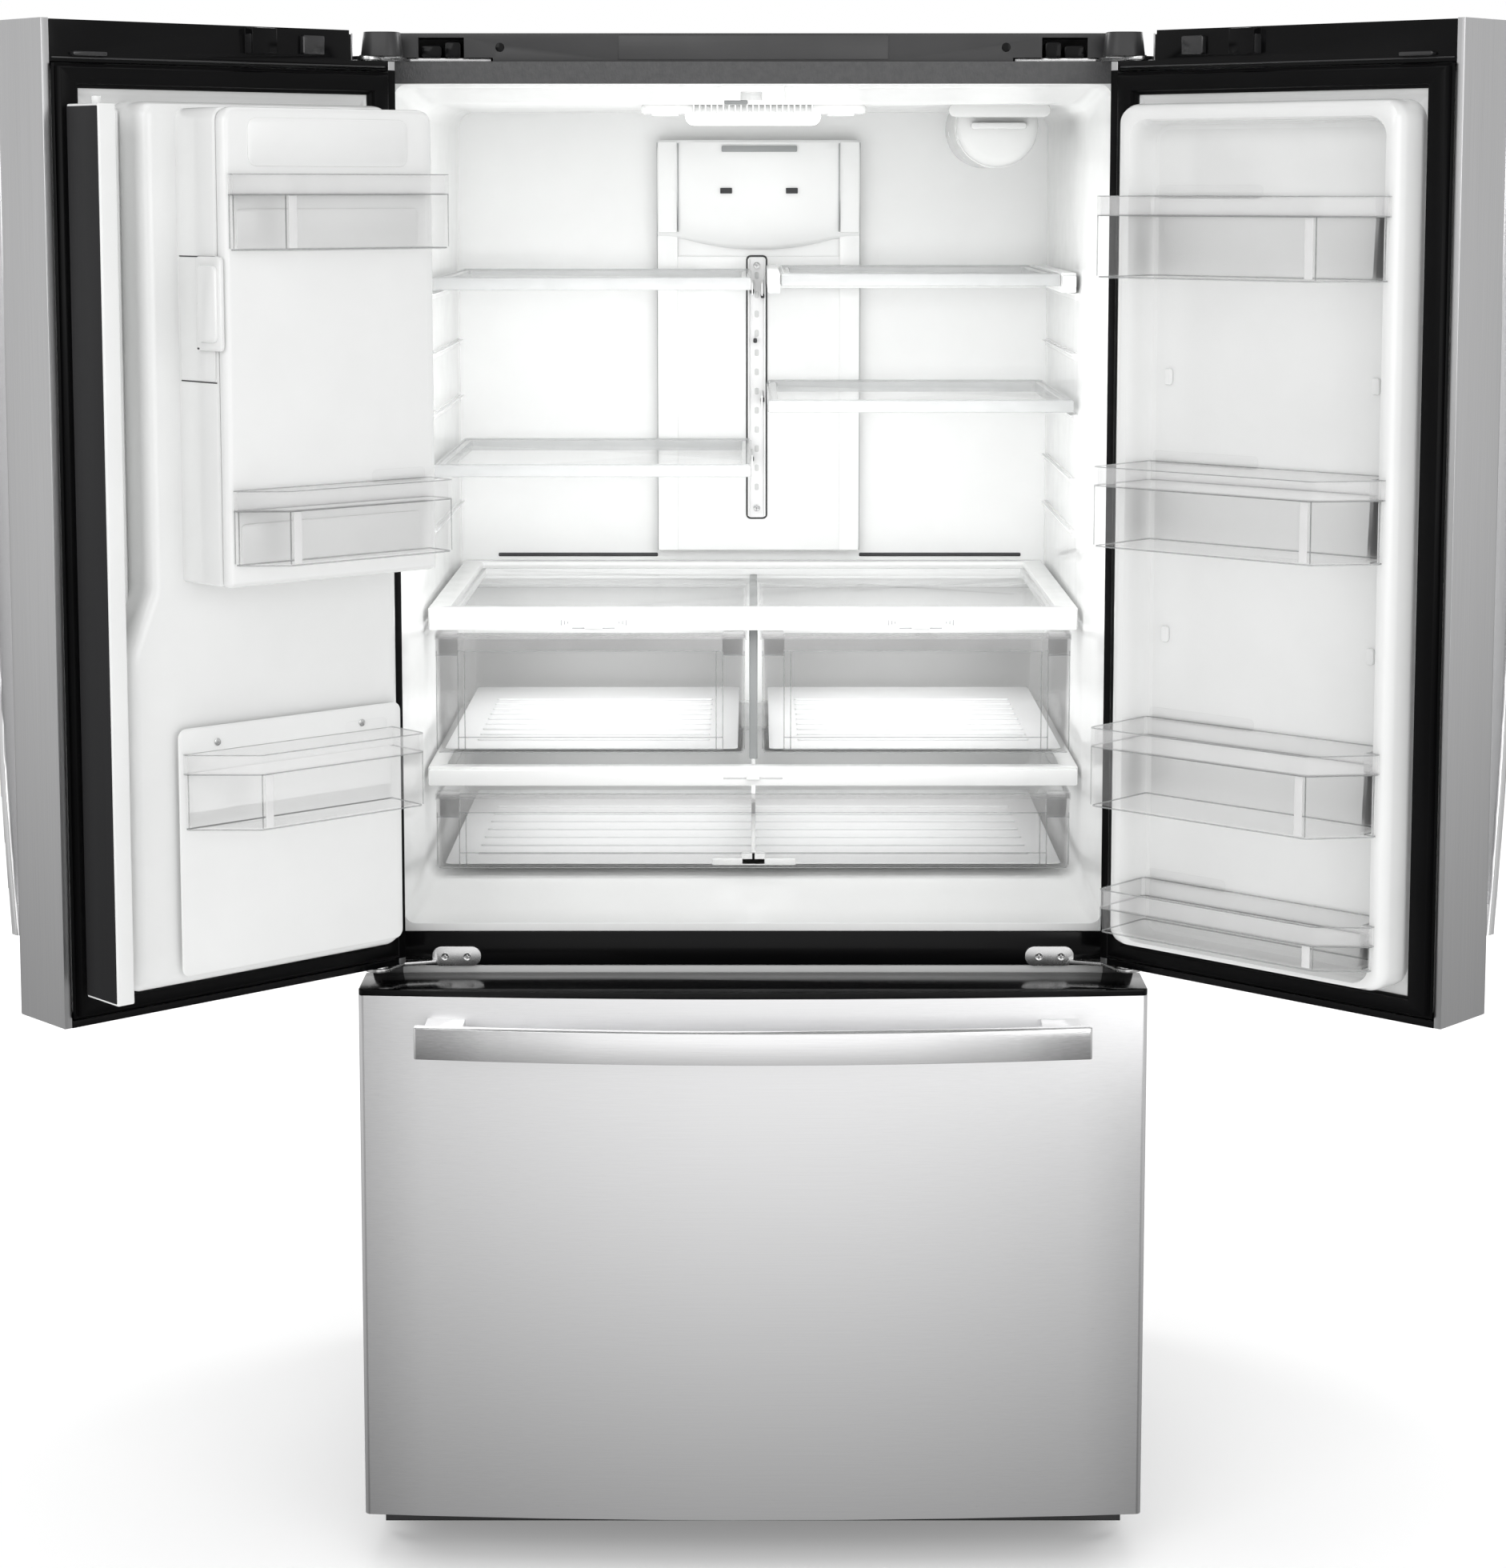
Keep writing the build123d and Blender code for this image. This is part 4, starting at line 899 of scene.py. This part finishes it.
LOWER_ROWS = [(1533, 0.2, 3, 16), (1535, 4.5, 0.8, 16), (1539, 8.5, 0, 15), (1562, 14, 0, 6)]
UPPER_ROWS = [(1600, 18), (1650, 17), (1660, 15, 0.6), (1663, 12, 3)]
tower.rows([bowed_row(*row) for row in LOWER_ROWS + UPPER_ROWS])
tower.finish("tower_cover", "cabinet", "liner", ("air_tower",), smooth=30)
strips = Piece(in_cabinet, "xz")
for sign in (-1, 1):
    edge = MIDDLE + sign * HALF
    strips.slab(sorted((edge, edge - sign * 27)), (652.6, 656.6), (1110, 1536), 2, 0.9)
    strips.slab(sorted((edge - sign * 1.0, edge - sign * 27)), (643.5, 656), (1540, 1661), 2, 1.2)
strips.finish("tower_side_strips", "cabinet", "liner")
# grey lines painted as the shade in the grooves and the seams round the tower cover
grooves = Piece(in_cabinet, "xz")
for sign in (-1, 1):
    edge = MIDDLE + sign * (HALF - 28)
    grooves.slab((edge - 0.6, edge + 0.6), (640.0, 656), (1541, 1659), 0.3, 0.1)
    edge = MIDDLE + sign * (HALF + 0.4)
    grooves.slab((edge - 0.4, edge + 0.4), (655, 658), (1110, 1660), 0.2, 0.1)
grooves.finish("tower_grooves", "cabinet", "post")
# a grey slab painted as the shade in the upper vent
vents = Piece(in_cabinet, "xz")
vents.slab((-42, 59), (636.2, 640), (1647.5, 1655.5), 1.5, 0.4)
vents.finish("tower_upper_vent", "cabinet", "post")
small_vents = Piece(in_cabinet, "xz")
for x in (-44, 44):
    small_vents.slab((x, x + 16), (635.6, 641), (1592, 1599.5), 0.8, 0.3)
for x in ((-348, -130), (145, 366)):
    small_vents.slab(x, (678.6, 679.8), (1098.5, 1103.5), 1.5, 0.4)
small_vents.finish("back_wall_slots", "cabinet", "shadow")

# ------------------------------------------------------------------ ladder track and side wall ribs
track = Piece(in_cabinet, "xz")
track.slab((-7, 17), (650.5, 655), (1155, 1507), 4, 0.8)
for x in ((-7, -4.6), (14.6, 17)):
    track.slab(x, (646, 652), (1157, 1505), 1.1, 0.7)
track.finish("track_plate", "cabinet", "track", ("shelf_track",))
# grey slabs painted as the shade in the track's slots
track_slots = Piece(in_cabinet, "xz")
FIRST_SLOT, SLOT_PITCH, SLOT_LENGTH = 1192, 26, 9
for k in range(12):
    z = FIRST_SLOT + SLOT_PITCH * k
    track_slots.slab((2.2, 7.8), (650.0, 650.8), (z, z + SLOT_LENGTH), 2, 0.2)
track_slots.finish("track_slots", "cabinet", "filter")
track_lines = Piece(in_cabinet, "xz")
track_lines.slab((-9.4, 19.4), (653.2, 654.6), (1152.4, 1509.6), 6, 0.3)
for x, z in ((-2, 1466), (-2, 1240), (12, 1320), (12, 1460), (2, 1400)):
    track_lines.slab((x - 1.6, x + 3.4), (640, 651), (z - 8, z - 2), 1.6, 0.4)
track_lines.finish("track_outline", "cabinet", "shadow")
track_screws = Piece(in_cabinet, "xz")
for z in (1168, 1496):
    screw(track_screws, (5, z), 4.4, (650.6, 648.4))
track_screws.finish("track_screws", "cabinet", "plate")
hooks = Piece(in_cabinet, "yz")
for x, z in ((-1, 1478), (-1, 1250), (12, 1329), (12, 1478)):
    hooks.slab((x - 1, x + 1), (560, 652), (z - 20, z - 2), 2, 0.7)
hooks.finish("shelf_hooks", "cabinet", "track")

rib_lines = Piece(in_cabinet, "yz")
RIB_HEIGHTS = (1180, 1244, 1323, 1398, 1472)
for sign in (-1, 1):
    for z in RIB_HEIGHTS:
        rib_lines.slab(sorted((sign * 389.4, sign * 398.2)), (238, 636), (z - 2.4, z - 0.6), 1.2, 0.6)
rib_lines.finish("wall_rib_edges", "cabinet", "frost")

# ------------------------------------------------------------------ lamp, filter, flipper guide
lamp = Piece(in_cabinet)
PLATE_ROWS = [(3, 1699.9), (0.6, 1697), (0, 1694), (0.6, 1691), (3, 1689.4)]
lamp.stack(rectangle((-137, 138), (240, 330)), PLATE_ROWS, 10, 5)
FINS, FIN_PITCH = 21, 7.2
for k in range(FINS):
    x = -72 + FIN_PITCH * k
    lamp.slab((x - 1, x + 1), (232, 244), (1688, 1702), 0.8, 0.5)
for sign in (-1, 1):
    for k in range(4):
        x = sorted((sign * 92, sign * 124))
        lamp.slab(x, (262 + 14 * k, 268 + 14 * k), (1687.6, 1690.5), 2, 1)
lamp.finish("lamp_plate", "cabinet", "liner", ("ceiling_lamp",))
lens = Piece(in_cabinet)
LENS_ROWS = [(0.4, 1690), (0, 1686), (2, 1680), (5, 1677.4), (10, 1676.2)]
lens.stack(rectangle((-83, 83), (246, 324)), LENS_ROWS, 12, 6)
lens.finish("lamp_lens", "cabinet", "lens")

FILTER_X, FILTER_Z, FILTER_RADIUS = 300.0, 1675.0, 50
DOME = [(12, 262), (5, 264), (1.5, 268), (0, 275)]
COLLAR_AND_BODY = [(0, 292), (-1.2, 293), (-1.2, 300), (0, 301), (0, 520), (3, 540)]
filter_can = Piece(in_cabinet, "xz")
filter_can.turned((FILTER_X, FILTER_Z), FILTER_RADIUS, DOME + COLLAR_AND_BODY, 40)
filter_can.slab((FILTER_X - 34, FILTER_X + 34), (252.4, 266), (FILTER_Z - 4, FILTER_Z + 4), 3.5, 1.8)
filter_can.finish("filter_cap", "water_filter", "filter", ("water_filter",))

shroud = Piece(in_cabinet, "xz")
shroud.slab((FILTER_X - 62, FILTER_X + 62), (240, 251.6), (1685, 1702), 10, 2.0)
shroud.finish("filter_shroud", "cabinet", "filter")

guide = Piece(in_cabinet)
guide.slab((-33, -6), (6, 30), (1694.5, 1699.5), 2, 1.2)
guide.finish("guide_nub", "cabinet", "post")

# ------------------------------------------------------------------ cover bar details, screws and washers
bar_panel = Piece(in_cabinet, "xz")
bar_panel.slab((-153, 154), (0.9, 1.9), (TOP + 2.4, TOP + 29.6), 1.5, 0.4)
bar_panel.finish("cover_bar_panel", "cabinet", "cover_light")
# black discs painted as the shade in the cover bar's screw holes
bar_holes = Piece(in_cabinet, "xz")
HOLE_X, HOLE_Z = 289, 1759
for sign in (-1, 1):
    bar_holes.disc((sign * HOLE_X, HOLE_Z), 5.2, (1.8, 2.4), 0.1)
bar_holes.finish("cover_bar_holes", "cabinet", "black")
fasteners = Piece(in_cabinet, "xz")
for x in (-362, -336, 336, 362):
    screw(fasteners, (x, 701.6), 4.4, (-4.0, -6.4))
for x in (-438, 438):
    for z in (70, 285):
        screw(fasteners, (x, z), 4.2, (747.5, 749.8))
fasteners.finish("case_screws", "cabinet", "plate", ("cabinet_screws",))
window_parts = Piece(in_cabinet, "xz")
for sign in (-1, 1):
    window_parts.slab(sorted((sign * 334, sign * 352)), (4, 40), (TOP + 5, TOP + 22), 3, 1)
    window_parts.slab(sorted((sign * 356, sign * 379)), (6, 40), (TOP + 5, TOP + 18), 3, 1)
window_parts.finish("hinge_window_parts", "cabinet", "black")
washers = Piece(in_cabinet)
PIN_X, PIN_Y = 435.3, -41.5
for sign in (-1, 1):
    washers.disc((sign * PIN_X, PIN_Y), 9, (1747.0, 1748.6), 0.4)
    washers.slab(sorted((sign * 398, sign * 446)), (-38, 6), (1745.8, 1747.2), 6, 0.4)
washers.finish("hinge_washers", "cabinet", "plate")

# ------------------------------------------------------------------ studio
scene = bpy.context.scene
floor_mesh = bmesh.new()
bmesh.ops.create_circle(floor_mesh, cap_ends=True, segments=96, radius=40)
floor_data = bpy.data.meshes.new("floor")
floor_mesh.to_mesh(floor_data)
floor_data.materials.append(MATERIALS["floor"])
floor = bpy.data.objects.new("floor", floor_data)
scene.collection.objects.link(floor)
floor.visible_glossy = False


def area_light(name, place, target, size, power):
    data = bpy.data.lights.new(name, "AREA")
    data.shape = "RECTANGLE"
    data.size, data.size_y = size
    data.energy = power
    light = bpy.data.objects.new(name, data)
    light.location = place
    light.rotation_mode = "QUATERNION"
    light.rotation_quaternion = (Vector(target) - Vector(place)).to_track_quat("-Z", "Y")
    scene.collection.objects.link(light)
    return light


area_light("key", (-2.4, -4.4, 3.2), (0, 0, 1.0), (3.0, 2.6), 52)
area_light("fill", (2.8, -4.2, 2.0), (0, 0, 0.9), (2.6, 3.0), 44)
area_light("top", (0, -0.4, 4.6), (0, 0, 0), (3.5, 2.5), 12)
area_light("back_left", (-3.2, 3.2, 2.8), (0, 0, 1.0), (2.0, 2.6), 60)
area_light("back_right", (3.2, 3.2, 2.8), (0, 0, 1.0), (2.0, 2.6), 60)
# soft boxes that only fill the food compartment: place, target, size and power
SOFT_BOXES = {
    "cavity_front": ((0, -60, 1330), (0, 700, 1330), (0.8, 0.5), 3.1),
    "cavity_lamp": ((0, 285, 1674), (0, 330, 900), (0.16, 0.07), 0.3),
    "crisper_glow": ((0, 390, 1071), (0, 391, 900), (0.7, 0.44), 1.9),
    "deli_glow": ((0, 390, 877), (0, 391, 700), (0.7, 0.44), 1.4),
}
for name, (place, target, size, power) in SOFT_BOXES.items():
    light = area_light(name, in_cabinet(*place), in_cabinet(*target), size, power)
    light.visible_camera = False
    light.visible_glossy = False
    light.visible_transmission = False

# surroundings that fade downwards and have darker bands to each side, which the steel reflects
world = bpy.data.worlds.new("studio")
world.use_nodes = True
scene.world = world
sky = world.node_tree
background = sky.nodes["Background"]
background.inputs["Strength"].default_value = 1.15
direction = sky.nodes.new("ShaderNodeTexCoord")
parts = sky.nodes.new("ShaderNodeSeparateXYZ")
sky.links.new(direction.outputs["Generated"], parts.inputs["Vector"])
upwards = spread(sky, parts.outputs["Z"], 0.1, 1.0, -0.9, -0.1)
across = spread(sky, parts.outputs["X"], 0.0, 1.0, -1.0, 1.0)
LEFT_BANDS, CENTRE = ((0.2, 0.3), (0.32, 0.16)), ((0.4, 0.95), (0.5, 1.0), (0.61, 0.97))
RIGHT_BANDS, ENDS = ((0.685, 0.2), (0.8, 0.3)), ((0.0, 0.62), (1.0, 0.58))
sides = ramp(sky, across, ENDS + LEFT_BANDS + CENTRE + RIGHT_BANDS)
glow = sky.nodes.new("ShaderNodeMath")
glow.operation = "MULTIPLY"
sky.links.new(upwards, glow.inputs[0])
sky.links.new(sides, glow.inputs[1])
sky.links.new(glow.outputs[0], background.inputs["Color"])
# a white backdrop behind it all, for the camera
backdrop = sky.nodes.new("ShaderNodeBackground")
backdrop.inputs["Strength"].default_value = 1.0
backdrop.inputs["Color"].default_value = (1, 1, 1, 1)
paths = sky.nodes.new("ShaderNodeLightPath")
either = sky.nodes.new("ShaderNodeMixShader")
sky.links.new(paths.outputs["Is Camera Ray"], either.inputs[0])
sky.links.new(background.outputs[0], either.inputs[1])
sky.links.new(backdrop.outputs[0], either.inputs[2])
sky.links.new(either.outputs[0], sky.nodes["World Output"].inputs["Surface"])

CAMERA_TILT = 6.534  # degrees down
lens_data = bpy.data.cameras.new("camera")
lens_data.lens = 75.56
lens_data.sensor_width = 36
lens_data.shift_y = -0.14
camera = bpy.data.objects.new("camera", lens_data)
camera.location = (0, -3.972, 1.6)
camera.rotation_euler = (math.radians(90 - CAMERA_TILT), 0, 0)
scene.collection.objects.link(camera)
scene.camera = camera
scene.view_settings.view_transform = "Standard"
